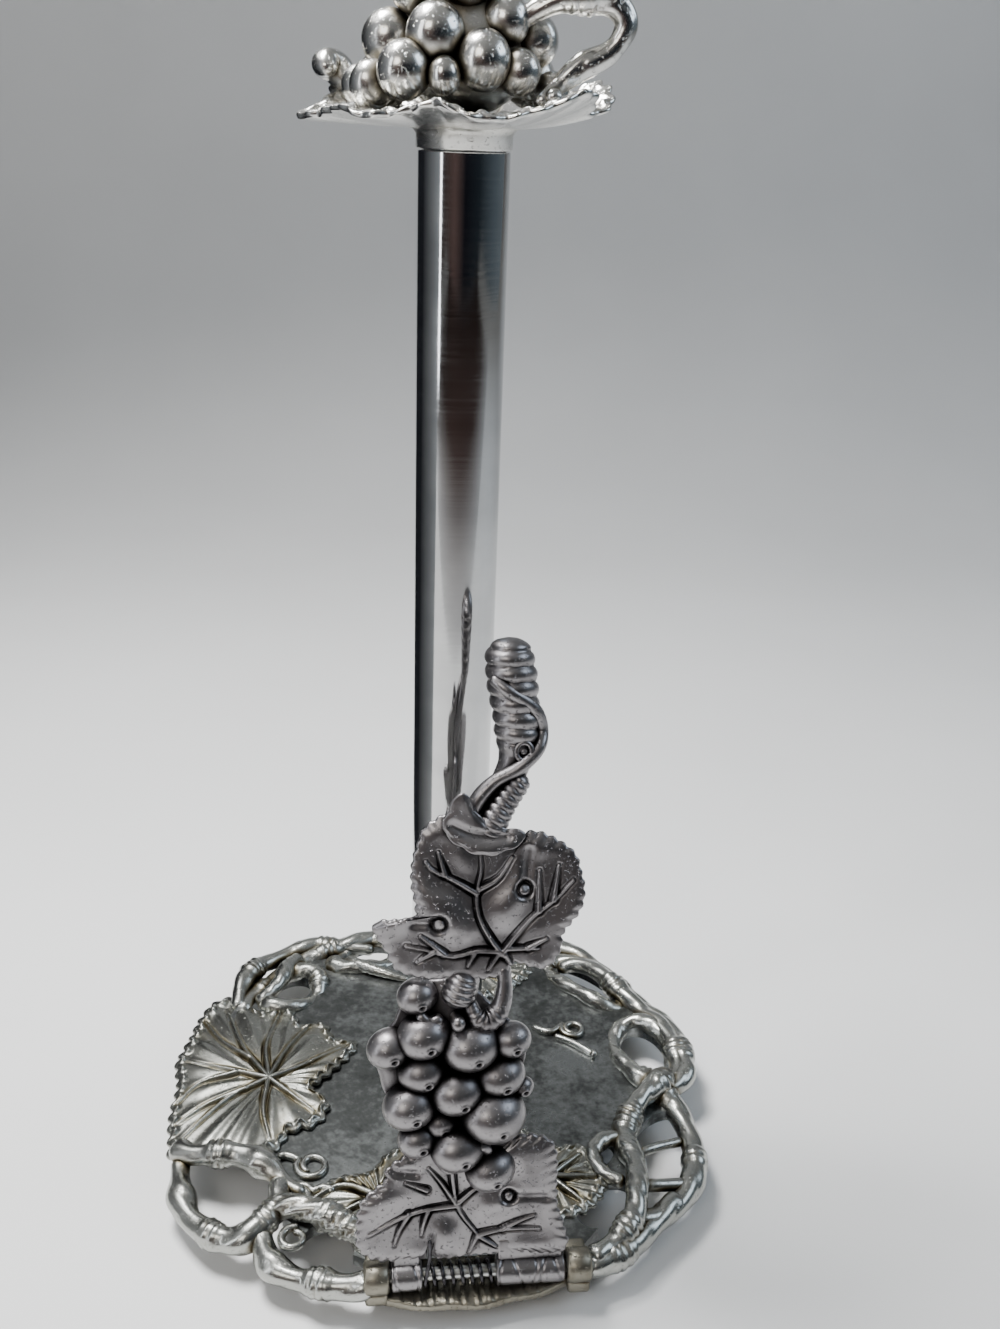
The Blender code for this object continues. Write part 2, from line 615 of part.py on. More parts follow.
def build_holder():
    """Build every piece of the holder."""
    clear_scene()
    base_metal = make_material("polished_cast_aluminium", (0.72, 0.71, 0.67), 0.28)
    arm_metal = make_material("dark_cast_aluminium", (0.36, 0.35, 0.36), 0.36)
    finial_metal = make_material("bright_cast_aluminium", (0.78, 0.78, 0.77), 0.24)
    tube_metal = make_material("polished_tube", (0.80, 0.80, 0.80), 0.08)
    plug_metal = make_material("turned_aluminium", (0.68, 0.68, 0.68), 0.35)
    steel = make_material("zinc_plated_steel", (0.62, 0.62, 0.60), 0.35)
    spring_steel = make_material("spring_steel", (0.45, 0.45, 0.44), 0.30)
    foot_rubber = make_material("foot_rubber", (0.03, 0.03, 0.03), 0.8, 0.0)

    build_base(base_metal)
    build_feet(foot_rubber)
    build_tube(tube_metal)
    build_plugs(plug_metal)
    build_screw_stack(steel, steel)

    finial_axis = bpy.data.objects.new("finial_axis", None)
    bpy.context.scene.collection.objects.link(finial_axis)
    build_finial(finial_metal, steel, finial_axis)

    hinge_axis = bpy.data.objects.new("hinge_axis", None)
    bpy.context.scene.collection.objects.link(hinge_axis)
    hinge_axis.location = HINGE
    hinge_axis.rotation_euler = (-ARM_LEAN, 0, 0)
    build_arm(arm_metal, hinge_axis)
    build_pin(steel)
    build_spring(spring_steel)


build_holder()
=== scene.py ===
"""Looks for the paper towel holder: cast grape-vine metalwork on a polished tube."""

import json
import math

import bmesh
import bpy
import numpy as np
from mathutils import Matrix, Vector


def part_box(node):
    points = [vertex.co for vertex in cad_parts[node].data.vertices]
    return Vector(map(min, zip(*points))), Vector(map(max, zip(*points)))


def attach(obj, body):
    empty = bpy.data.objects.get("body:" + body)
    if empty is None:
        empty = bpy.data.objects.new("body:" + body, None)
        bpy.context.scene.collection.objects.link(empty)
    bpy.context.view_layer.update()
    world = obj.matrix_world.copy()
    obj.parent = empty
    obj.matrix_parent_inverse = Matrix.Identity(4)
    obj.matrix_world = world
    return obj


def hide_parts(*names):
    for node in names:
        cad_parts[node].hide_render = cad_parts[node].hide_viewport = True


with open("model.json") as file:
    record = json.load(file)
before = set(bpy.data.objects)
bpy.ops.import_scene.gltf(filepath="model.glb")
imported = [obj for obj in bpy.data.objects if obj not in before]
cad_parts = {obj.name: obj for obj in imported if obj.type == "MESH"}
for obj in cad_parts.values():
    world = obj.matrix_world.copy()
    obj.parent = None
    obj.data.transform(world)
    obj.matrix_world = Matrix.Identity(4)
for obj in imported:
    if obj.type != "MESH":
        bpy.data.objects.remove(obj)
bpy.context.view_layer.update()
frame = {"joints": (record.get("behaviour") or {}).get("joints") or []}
MM = 0.001


# ---- Camera ---------------------------------------------------------------------------------
# It stands in front of the arm, a little to its left and above the arm's tip, looking down.

CAMERA_PLACE = Vector((-30.2, -368.0, 346.2)) * MM
CAMERA_TURN = math.radians(7.0)  # towards +X from straight ahead
CAMERA_DIP = math.radians(23.75)
CAMERA_ROLL = math.radians(2.12)
CAMERA_LENS = 34.13

camera_data = bpy.data.cameras.new("camera")
camera_data.sensor_width = 36.0
camera_data.lens = CAMERA_LENS
camera_data.clip_start = 0.01
camera = bpy.data.objects.new("camera", camera_data)
bpy.context.scene.collection.objects.link(camera)
camera.matrix_world = (
    Matrix.Translation(CAMERA_PLACE)
    @ Matrix.Rotation(-CAMERA_TURN, 4, "Z")
    @ Matrix.Rotation(math.pi / 2 - CAMERA_DIP, 4, "X")
    @ Matrix.Rotation(CAMERA_ROLL, 4, "Z")
)
bpy.context.scene.camera = camera


# ---- Floor, backdrop and light --------------------------------------------------------------
# A pale board swept up behind the holder, under a soft overhead light, a fill in front and a
# light at each side. The polished metal mirrors a dim room and two dark cards as bands.


def linear(code):
    """An sRGB hex colour as linear values."""
    parts = [int(code[i:i + 2], 16) / 255 for i in (1, 3, 5)]
    return tuple(c / 12.92 if c <= 0.04045 else ((c + 0.055) / 1.055) ** 2.4 for c in parts) + (1.0,)


def node(tree, kind, settings=None, links=None):
    """Add a shader node, with its settings by attribute or input name and its links by input."""
    made = tree.nodes.new("ShaderNode" + kind)
    for name, value in (settings or {}).items():
        if isinstance(name, str) and hasattr(made, name):
            setattr(made, name, value)
        else:
            made.inputs[name].default_value = value
    for name, socket in (links or {}).items():
        tree.links.new(socket, made.inputs[name])
    return made


def ramp(tree, source, stops):
    """Colour a value by stops of (position, hex colour or grey level)."""
    made = node(tree, "ValToRGB", links={"Fac": source})
    elements = made.color_ramp.elements
    while len(elements) < len(stops):
        elements.new(0.5)
    for element, (position, colour) in zip(elements, stops):
        element.position = position
        element.color = linear(colour) if isinstance(colour, str) else (colour, colour, colour, 1.0)
    return made.outputs["Color"]


def fresh_material(name, metallic=0.0):
    """A node material, its tree, its shader, and the place that its patterns follow."""
    material = bpy.data.materials.new(name)
    material.use_nodes = True
    tree = material.node_tree
    shader = tree.nodes["Principled BSDF"]
    shader.inputs["Metallic"].default_value = metallic
    return material, tree, shader, node(tree, "TexCoord").outputs["Object"]


def staged(name, shape, finish):
    """A piece of the room that the holder stands in, made of a shape."""
    mesh = bpy.data.meshes.new(name)
    shape.to_mesh(mesh)
    shape.free()
    mesh.materials.append(finish)
    made = bpy.data.objects.new(name, mesh)
    bpy.context.scene.collection.objects.link(made)
    return made


BOARD_FRONT = -2.2
BOARD_BACK = 0.62  # where the sweep starts
SWEEP_RADIUS = 0.45
BOARD_TOP = 1.15
BOARD_WIDTH = 4.4

# Matt emulsion on board: it scatters light, and a faint mottle shows the roller's texture
board_finish, tree, shader, place = fresh_material("matt_painted_board")
shader.inputs["Roughness"].default_value = 0.8
shader.inputs["Specular IOR Level"].default_value = 0.15
mottle = node(tree, "TexNoise", {"Scale": 6.0, "Detail": 3.0}, {"Vector": place}).outputs["Fac"]
tree.links.new(ramp(tree, mottle, [(0.3, "#dddddc"), (0.7, "#e2e2e1")]), shader.inputs["Base Color"])

board = bmesh.new()
bmesh.ops.create_grid(board, x_segments=1, y_segments=60, size=0.5)
flat_run = BOARD_BACK - BOARD_FRONT
sweep_run = SWEEP_RADIUS * math.pi / 2
full_run = flat_run + sweep_run + BOARD_TOP - SWEEP_RADIUS
for vert in board.verts:
    run = (vert.co.y + 0.5) * full_run
    angle = min(max((run - flat_run) / SWEEP_RADIUS, 0.0), math.pi / 2)
    y = BOARD_FRONT + min(run, flat_run) + SWEEP_RADIUS * math.sin(angle)
    z = SWEEP_RADIUS * (1 - math.cos(angle)) + max(run - flat_run - sweep_run, 0.0)
    vert.co = (vert.co.x * BOARD_WIDTH, y, z)
for face in board.faces:
    face.smooth = True
staged("board", board, board_finish)


def soft_light(name, place, target, size, power, colour="#ffffff", spread=180):
    """A rectangular soft light that faces a point, its beam spread over so many degrees."""
    data = bpy.data.lights.new(name, "AREA")
    data.shape = "RECTANGLE"
    data.size, data.size_y = size
    data.energy = power
    data.spread = math.radians(spread)
    data.color = linear(colour)[:3]
    light = bpy.data.objects.new(name, data)
    bpy.context.scene.collection.objects.link(light)
    aim = (Vector(target) - Vector(place)).to_track_quat("-Z", "Y")
    light.matrix_world = Matrix.Translation(place) @ aim.to_matrix().to_4x4()


soft_light("overhead", (-0.28, 0.17, 0.92), (0.02, -0.12, 0.0), (0.3, 0.3), 10.0, spread=126)
soft_light("front_fill", (-0.55, -0.95, 0.95), (0, 0, 0.2), (0.5, 0.5), 3.6, "#fffaf2")
soft_light("left_strip", (-0.78, -0.42, 0.5), (0, 0, 0.2), (0.10, 0.9), 2.2, "#f6f9ff")
soft_light("right_window", (1.05, -0.1, 0.95), (0, 0, 0.15), (0.8, 0.6), 6.0, "#d3e3f5")


def dark_card(name, corner, along, across, colour, faded):
    """A dark card from a corner along its two sides, seen only by polished metal.

    It pales over its first faded metres along Y, so that its reflection has a soft edge."""
    card_finish, tree, shader, place = fresh_material(name)
    far = node(tree, "SeparateXYZ", {}, {"Vector": place}).outputs["Y"]
    fade = node(tree, "MapRange", {"From Min": corner[1], "From Max": corner[1] + faded}, {"Value": far})
    tree.links.new(ramp(tree, fade.outputs["Result"], [(0.0, "#b4b4b4"), (1.0, colour)]),
                   shader.inputs["Base Color"])
    shader.inputs["Roughness"].default_value = 1.0
    shader.inputs["Specular IOR Level"].default_value = 0.0
    card = bmesh.new()
    bmesh.ops.create_grid(card, x_segments=1, y_segments=1, size=0.5)
    for vert in card.verts:
        vert.co = Vector(corner) + Vector(along) * (vert.co.x + 0.5) + Vector(across) * (vert.co.y + 0.5)
    made = staged(name, card, card_finish)
    made.visible_camera = made.visible_diffuse = made.visible_shadow = False


dark_card("black_left_card", (-0.165, -0.09, 0), (0.065, 0.31, 0), (0, 0, 0.6), "#2c2c30", 0.16)
dark_card("brown_floor_card", (-1.5, -0.44, 0.004), (3.0, 0, 0), (0, -1.7, 0), "#4c3d3a", -0.5)

world = bpy.data.worlds.new("room")
world.use_nodes = True
bpy.context.scene.world = world
tree = world.node_tree
direction = node(tree, "TexCoord").outputs["Generated"]
parts = node(tree, "SeparateXYZ", links={"Vector": direction}).outputs
# Round the room from straight in front, by way of the left, the back and the right
bearing = node(tree, "Math", {"operation": "ARCTAN2"}, {0: parts["X"], 1: parts["Y"]}).outputs[0]
bearing = node(tree, "MapRange", {"From Min": -math.pi, "From Max": math.pi}, {"Value": bearing})
walls = ramp(tree, bearing.outputs["Result"], [
    (0.0, "#2c2c33"), (0.07, "#7d6763"), (0.14, "#5a4c4a"), (0.2, "#16171a"), (0.4, "#1c1d20"),
    (0.5, "#8f9498"), (0.62, "#97a2a9"), (0.78, "#6d7a84"), (0.9, "#333c44"), (1.0, "#22222a")])
ceiling = node(tree, "MapRange", {"From Min": 0.25, "From Max": 0.85}, {"Value": parts["Z"]})
room = node(tree, "MixRGB", {"Color2": linear("#b9bab9")},
            {"Fac": ceiling.outputs["Result"], "Color1": walls})
# Past the board the camera sees a plain wall, and only reflections see the room
backdrop = node(tree, "MixRGB", {"Color2": linear("#d5d5d4")},
                {"Fac": node(tree, "LightPath").outputs["Is Camera Ray"], "Color1": room.outputs["Color"]})
tree.links.new(backdrop.outputs["Color"], tree.nodes["Background"].inputs["Color"])
tree.nodes["Background"].inputs["Strength"].default_value = 0.55


# ---- Base plate -----------------------------------------------------------------------------
# The middle of the base: sand-cast aluminium, turned flat on top and left satin, with openings
# under the vines of its rim. The vines and leaves round it are cast in one with it.


def dress(tree, shader, colour, dull, relief):
    """Give a shader its colour, its roughness and the bumps of its surface."""
    tree.links.new(colour, shader.inputs["Base Color"])
    tree.links.new(dull.outputs["Result"], shader.inputs["Roughness"])
    tree.links.new(relief.outputs["Normal"], shader.inputs["Normal"])


def cast_metal(name, proud, half_shaded_tarnish, recess, gloss, tarnish, shade_reach=2.5, pits=0.12):
    """Cast aluminium, bright where it stands proud, and darkened by tarnish and by painted shade
    where occlusion finds it enclosed.

    Tarnish clouds it by that share; the reach of the painted shade and the pits are in millimetres."""
    material, tree, shader, place = fresh_material(name, 1.0)
    # Painted shade: ambient occlusion darkens the colour in hollows, grooves and gaps between parts
    unshaded_share = node(tree, "AmbientOcclusion", {"samples": 8, "only_local": True,
                                               "Distance": shade_reach * MM}).outputs["AO"]
    clouds = node(tree, "TexNoise", {"Scale": 1 / (11 * MM), "Detail": 5.0}, {"Vector": place})
    drift = node(tree, "Math", {"operation": "MULTIPLY_ADD", 1: tarnish, 2: -tarnish / 2},
                 {0: clouds.outputs["Fac"]}).outputs[0]
    unshaded_and_untarnished = node(tree, "Math", {"operation": "ADD"}, {0: unshaded_share, 1: drift}).outputs[0]
    # The colour runs from the recess colour, painted shade with tarnish, up to bright metal where it is
    # open
    colour = ramp(tree, unshaded_and_untarnished, [(0.42, recess), (0.68, half_shaded_tarnish), (0.92, proud)])
    dull = node(tree, "MapRange", {"From Min": 0.45, "From Max": 0.95, "To Min": 0.6, "To Max": gloss},
                {"Value": unshaded_and_untarnished})
    # Gas pits about 0.5 mm wide, and the slow ripple that hand polishing leaves
    grain = node(tree, "TexNoise", {"Scale": 1 / (0.9 * MM), "Detail": 2.0}, {"Vector": place})
    holes = ramp(tree, grain.outputs["Fac"], [(0.30, 0.0), (0.37, 1.0)])
    ripple = node(tree, "TexNoise", {"Scale": 1 / (5 * MM), "Detail": 2.0}, {"Vector": place})
    pitted = node(tree, "Bump", {"Strength": 0.8, "Distance": pits * MM}, {"Height": holes})
    rippled = node(tree, "Bump", {"Strength": 0.5, "Distance": 0.25 * MM},
                   {"Height": ripple.outputs["Fac"], "Normal": pitted.outputs["Normal"]})
    dress(tree, shader, colour, dull, rippled)
    return material


def joined(shapes):
    """Several shapes as one."""
    whole = bmesh.new()
    for shape in shapes:
        mesh = bpy.data.meshes.new("part")
        shape.to_mesh(mesh)
        shape.free()
        whole.from_mesh(mesh)
        bpy.data.meshes.remove(mesh)
    return whole


def moulded(rows, columns, place):
    """A grid whose points place(u, v) sets in millimetres, with its seams and poles closed."""
    shape = bmesh.new()
    bmesh.ops.create_grid(shape, x_segments=columns, y_segments=rows, size=0.5)
    flat = np.array([vert.co for vert in shape.verts])[:, :2] + 0.5
    for vert, point in zip(shape.verts, place(flat[:, 0], flat[:, 1]) * MM):
        vert.co = point
    bmesh.ops.remove_doubles(shape, verts=shape.verts, dist=2e-6)
    bmesh.ops.recalc_face_normals(shape, faces=shape.faces)
    return shape


def finished(name, shape, material, body, slot, replaced=(), sharp=None):
    """Make the finished piece of a shape, put it on its body and hide the solids that it replaces."""
    mesh = bpy.data.meshes.new(name)
    shape.to_mesh(mesh)
    shape.free()
    mesh.polygons.foreach_set("use_smooth", [True] * len(mesh.polygons))
    if sharp:
        mesh.set_sharp_from_angle(angle=math.radians(sharp))
    mesh.materials.append(material)
    piece = bpy.data.objects.new(name, mesh)
    bpy.context.scene.collection.objects.link(piece)
    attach(piece, body)
    if replaced:
        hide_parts(*replaced)
    return piece


def cut(shape, tools):
    """A shape with the closed tools cut out of it."""
    objects = []
    for part in (shape, joined(tools)):
        mesh = bpy.data.meshes.new("cut")
        part.to_mesh(mesh)
        part.free()
        objects.append(bpy.data.objects.new("cut", mesh))
        bpy.context.scene.collection.objects.link(objects[-1])
    modifier = objects[0].modifiers.new("cut", "BOOLEAN")
    modifier.operation = "DIFFERENCE"
    modifier.solver = "EXACT"
    modifier.use_self = True
    modifier.object = objects[1]
    evaluated = objects[0].evaluated_get(bpy.context.evaluated_depsgraph_get())
    result = bpy.data.meshes.new_from_object(evaluated)
    left = bmesh.new()
    left.from_mesh(result)
    bpy.data.meshes.remove(result)
    for made in objects:
        bpy.data.meshes.remove(made.data)
    return left


def brick(low, high, round_off=0.0):
    """A box between two corners in millimetres, with its edges rounded."""
    low, high = Vector(low) * MM, Vector(high) * MM
    size = Matrix.Diagonal((*(high - low), 1))
    shape = bmesh.new()
    bmesh.ops.create_cube(shape, size=1.0, matrix=Matrix.Translation((low + high) / 2) @ size)
    if round_off:
        bmesh.ops.bevel(shape, geom=shape.edges[:], offset=round_off * MM, segments=3, affect="EDGES",
                        profile=0.5, material=-1)
    return shape


PLATE_TOP = 14.0
PLATE_BOTTOM = 10.0
PLATE_RADIUS = 92.3
SEAT_RADIUS = 13.0  # of the recess that the tube stands in
SCREW_HOLE = 3.4
EDGE_RIPPLE = 0.6
EDGE_DRAWN_IN = 8.5
DRAWN_IN_AT = ((138, 26), (236, 28))  # degrees round from the front, and half the width
DISH_START = 58
DISH_RUN = 34
DISH_RISE = 0.7
# Openings under the rim: the angle round the base, the distance of the middle in from the
# plate's edge, and the half sizes along the radius and across it
OPENINGS = (
    (7, 14.0, 8.5, 13.0), (40, 11.0, 5.5, 15.0), (78, 12.0, 6.0, 12.0), (110, 11.0, 6.0, 11.0),
    (137, 12.0, 7.0, 9.0), (215, 9.0, 11.0, 17.0), (240, 8.5, 8.0, 9.0), (308, 12.0, 8.0, 12.0),
    (321, 27.0, 5.0, 8.0), (331, 9.0, 10.0, 19.0))
CUTTER_DEPTH = 20
LUGS = ((-31.1, -23.1), (32.1, 40.1))  # where each hinge lug starts and ends
hinge = Vector(next(j for j in frame["joints"] if j["name"] == "arm_hinge")["pos_m"]) / MM


def plate_surface(u, v):
    """The plate: top from the tube's seat to its edge, round the edge, and back underneath."""
    angle = u * math.tau
    bearing = (np.degrees(angle) - 90) % 360
    drawn_in = sum(EDGE_DRAWN_IN / (1 + ((bearing - middle) / half_width) ** 6)
                   for middle, half_width in DRAWN_IN_AT)
    edge = PLATE_RADIUS - drawn_in + EDGE_RIPPLE * np.cos(15 * angle)
    share = np.interp(v, [0, 0.55, 0.62, 0.92, 1], [0, 1, 1, 0, 0])
    inside = np.where(v < 0.58, SEAT_RADIUS, SCREW_HOLE)
    reach = inside + (edge - inside) * share
    dish = DISH_RISE * np.clip((reach - DISH_START) / DISH_RUN, 0, 1) ** 2
    top = PLATE_TOP + dish + 0.12 * np.sin(3 * angle + 1) * np.clip(reach / 90 - 0.3, 0, 1)
    height = np.interp(v, [0, 0.55, 0.62, 0.92, 0.93, 1], [1, 1, 0, 0, 0, 0.7])
    level = PLATE_BOTTOM + height * (top - PLATE_BOTTOM)
    return np.column_stack([reach * np.cos(angle), reach * np.sin(angle), level])


openings = []
for degrees, inset, half_radial, half_across in OPENINGS:
    hole = bmesh.new()
    shift = Matrix.Translation(((PLATE_RADIUS - inset) * MM, 0, PLATE_TOP * MM))
    size = Matrix.Diagonal((half_radial * MM, half_across * MM, 1, 1))
    bmesh.ops.create_cone(hole, cap_ends=True, segments=48, radius1=1, radius2=1, depth=CUTTER_DEPTH * MM,
                          matrix=Matrix.Rotation(math.radians(degrees), 4, "Z") @ shift @ size)
    openings.append(hole)
# The gap between the lugs, where the arm's knuckles turn and the spring sits
openings.append(brick((LUGS[0][1], -110, 0), (LUGS[1][0], hinge.y + 6.0, 30)))

# Aluminium turned and left: a satin grey with water stains, and rings that catch the light
plate_metal, tree, shader, place = fresh_material("satin_turned_aluminium", 1.0)
stains = node(tree, "TexNoise", {"Scale": 1 / (26 * MM), "Detail": 6.0, "Roughness": 0.65},
              {"Vector": place})
specks = node(tree, "TexNoise", {"Scale": 1 / (2.2 * MM), "Detail": 3.0}, {"Vector": place})
shade = node(tree, "Math", {"operation": "MULTIPLY_ADD", 1: 0.35},
             {0: specks.outputs["Fac"], 2: stains.outputs["Fac"]}).outputs[0]
colour = ramp(tree, shade, [(0.48, "#343635"), (0.64, "#535554"), (0.8, "#8b8e8d")])
dull = node(tree, "MapRange", {"From Min": 0.45, "From Max": 0.85, "To Min": 0.44, "To Max": 0.26},
            {"Value": shade})
# Turning marks in rings round the tube, drawn 1.6 mm apart so that they show
rings = node(tree, "TexWave", {"wave_type": "RINGS", "rings_direction": "Z", "Scale": 1 / (5 * MM),
                               "Distortion": 1.2, "Detail": 2.0, "Detail Scale": 0.4}, {"Vector": place})
marks = node(tree, "Bump", {"Strength": 0.25, "Distance": 0.03 * MM}, {"Height": rings.outputs["Fac"]})
waves = node(tree, "Bump", {"Strength": 0.5, "Distance": 0.3 * MM},
             {"Height": stains.outputs["Fac"], "Normal": marks.outputs["Normal"]})
dress(tree, shader, colour, dull, waves)

# The body, the slot and the solid that every piece of the base casting stands for
BASE_CASTING = ("stand", "polished_cast_aluminium", ["base_casting"])
finished("base_plate", cut(moulded(60, 180, plate_surface), openings), plate_metal, *BASE_CASTING, sharp=35)


# ---- Vines round the base -------------------------------------------------------------------
# Twisted stems run round the rim, loop about its openings and cross one another. They are cast
# with the plate and polished by hand; brown tarnish and painted shade darken their grooves and crossings.


def smooth_line(points, spacing, closed=False):
    """A curve through the points as evenly spaced points, and how far along each one is."""
    points = np.array(points, float)
    if closed:
        guide = np.vstack([points[-1:], points, points[:2]])
    else:
        guide = np.vstack([2 * points[0] - points[1], points, 2 * points[-1] - points[-2]])
    t = np.linspace(0, 1, 14, endpoint=False)[:, None]
    runs = []
    for a, b, c, d in zip(guide, guide[1:], guide[2:], guide[3:]):
        runs.append(0.5 * (2 * b + (c - a) * t + (2 * a - 5 * b + 4 * c - d) * t ** 2
                           + (3 * b - a - 3 * c + d) * t ** 3))
    line = np.vstack(runs + [guide[-2:-1]])
    length = np.append(0, np.cumsum(np.linalg.norm(np.diff(line, axis=0), axis=1)))
    along = np.linspace(0, length[-1], max(3, round(length[-1] / spacing) + 1))
    return np.column_stack([np.interp(along, length, axis) for axis in line.T]), along


def vine(points, sizes, strands=3, groove=0.13, pitch=42.0, wraps=(), coil=2.6, lumps=0.05, closed=False,
         around=26, spacing=0.8):
    """A stem of twisted strands along a line, with its ends rounded and tendrils coiled on it.

    A wrap is (where along the stem from 0 to 1, length, height), and its tendril takes coil
    millimetres for each turn."""
    line, along = smooth_line(points, spacing, closed)
    length = along[-1]
    forward = np.gradient(line, axis=0)
    if closed:
        forward[0] = forward[-1] = line[1] - line[-2]
    forward /= np.linalg.norm(forward, axis=1)[:, None]
    side = np.zeros_like(line)
    lean = np.cross(forward[0], (0.0, 0.0, 1.0) if abs(forward[0][2]) < 0.9 else (0.0, 1.0, 0.0))
    for index, ahead in enumerate(forward):
        lean = lean - ahead * lean.dot(ahead)
        lean /= np.linalg.norm(lean)
        side[index] = lean
    over = np.cross(forward, side)
    drift = math.atan2(side[-1].dot(over[0]), side[-1].dot(side[0])) if closed else 0.0
    size = np.interp(along / length, np.linspace(0, 1, len(sizes)), sizes)
    start = points[0][0] + 2 * points[0][1]
    if closed:
        size = size * (1 + lumps * np.sin(math.tau * 5 * along / length + start))
    else:
        size = size * (1 + lumps * np.sin(along / 2.7 + start) + lumps * np.sin(along / 4.9 + 2 * start))
        end = np.minimum(along, length - along) / size
        size = size * np.sqrt(np.clip(1 - (1 - np.minimum(end, 1)) ** 2, 0.0, 1))
    turns = round(length / pitch) if closed else length / pitch

    def stem(u, v):
        row = np.rint(v * (len(line) - 1)).astype(int)
        angle = u * math.tau - drift * v
        twist = angle * strands / 2 + math.pi * strands * turns * v
        reach = size[row] * (1 - groove + groove * np.abs(np.cos(twist)) ** 0.5) if strands else size[row]
        for middle, wrap_length, height in wraps:
            offset = along[row] - middle * length
            inside = 1 / (1 + (2 * np.abs(offset) / wrap_length) ** 8)
            ridge = np.abs(np.sin(math.pi * offset / coil + angle / 2)) ** 0.6
            reach = reach + inside * height * (0.2 + 0.8 * ridge) * np.minimum(size[row] / 2, 1)
        outward = side[row] * np.cos(angle)[:, None] + over[row] * np.sin(angle)[:, None]
        return line[row] + outward * reach[:, None]

    return moulded(len(line) - 1, around, stem)


def ring_point(radius, degrees, level):
    angle = math.radians(degrees)
    return (radius * math.cos(angle), radius * math.sin(angle), level)


VINE_LEVEL = 13.1
RIM_RADIUS = 91.8
RIM_WANDER = 1.3
RIM_RISE = 1.7
RIM_START, RIM_END = -3, 152  # degrees round from the right
OUTER_POINTS = 40
LOOP_POINTS = 16
LOOP_SWING = 1.9

# Cast, then polished by hand: pale where it stands proud; tarnish and painted shade brown its grooves
bright_vine = cast_metal("hand_polished_cast_aluminium", "#a8a9a4", "#645b45", "#0f0c08", 0.25,
                         tarnish=0.5, shade_reach=4.4)

rim_vines = []
outer = [(79, -13, 14.5), (86, -10, 14)]
for step in range(OUTER_POINTS):
    degrees = RIM_START + (RIM_END - RIM_START) * step / (OUTER_POINTS - 1)
    wander = math.sin(math.radians(9 * degrees))
    outer.append(ring_point(RIM_RADIUS + RIM_WANDER * wander, degrees,
                            VINE_LEVEL + RIM_RISE * math.cos(math.radians(6.5 * degrees))))
rim_vines.append(vine(outer, [3.4, 4.4, 4.0, 4.5, 3.9, 4.4], pitch=34,
                      wraps=[(0.1, 9, 1.2), (0.28, 8, 1.3), (0.45, 11, 1.4), (0.62, 8, 1.2), (0.8, 9, 1.3),
                             (0.93, 7, 1.2)]))
for number, (degrees, inset, half_radial, half_across) in enumerate(OPENINGS[:5]):
    loop = []
    spread = math.degrees(half_across / (PLATE_RADIUS - inset))
    for step in range(LOOP_POINTS):
        angle = math.tau * step / LOOP_POINTS
        radius = PLATE_RADIUS - inset + (half_radial + 2.4) * math.cos(angle)
        across = (spread + 2.6) * math.sin(angle)
        swing = LOOP_SWING * math.sin(2 * angle + number)
        loop.append(ring_point(min(radius, 93), degrees + across, VINE_LEVEL + 0.5 + swing))
    rim_vines.append(vine(loop, [3.3, 3.7, 3.0, 3.6, 3.3], pitch=20, closed=True, lumps=0.1,
                          wraps=[(0.25, 7, 1.0)] if number % 2 else [(0.7, 8, 1.1)]))

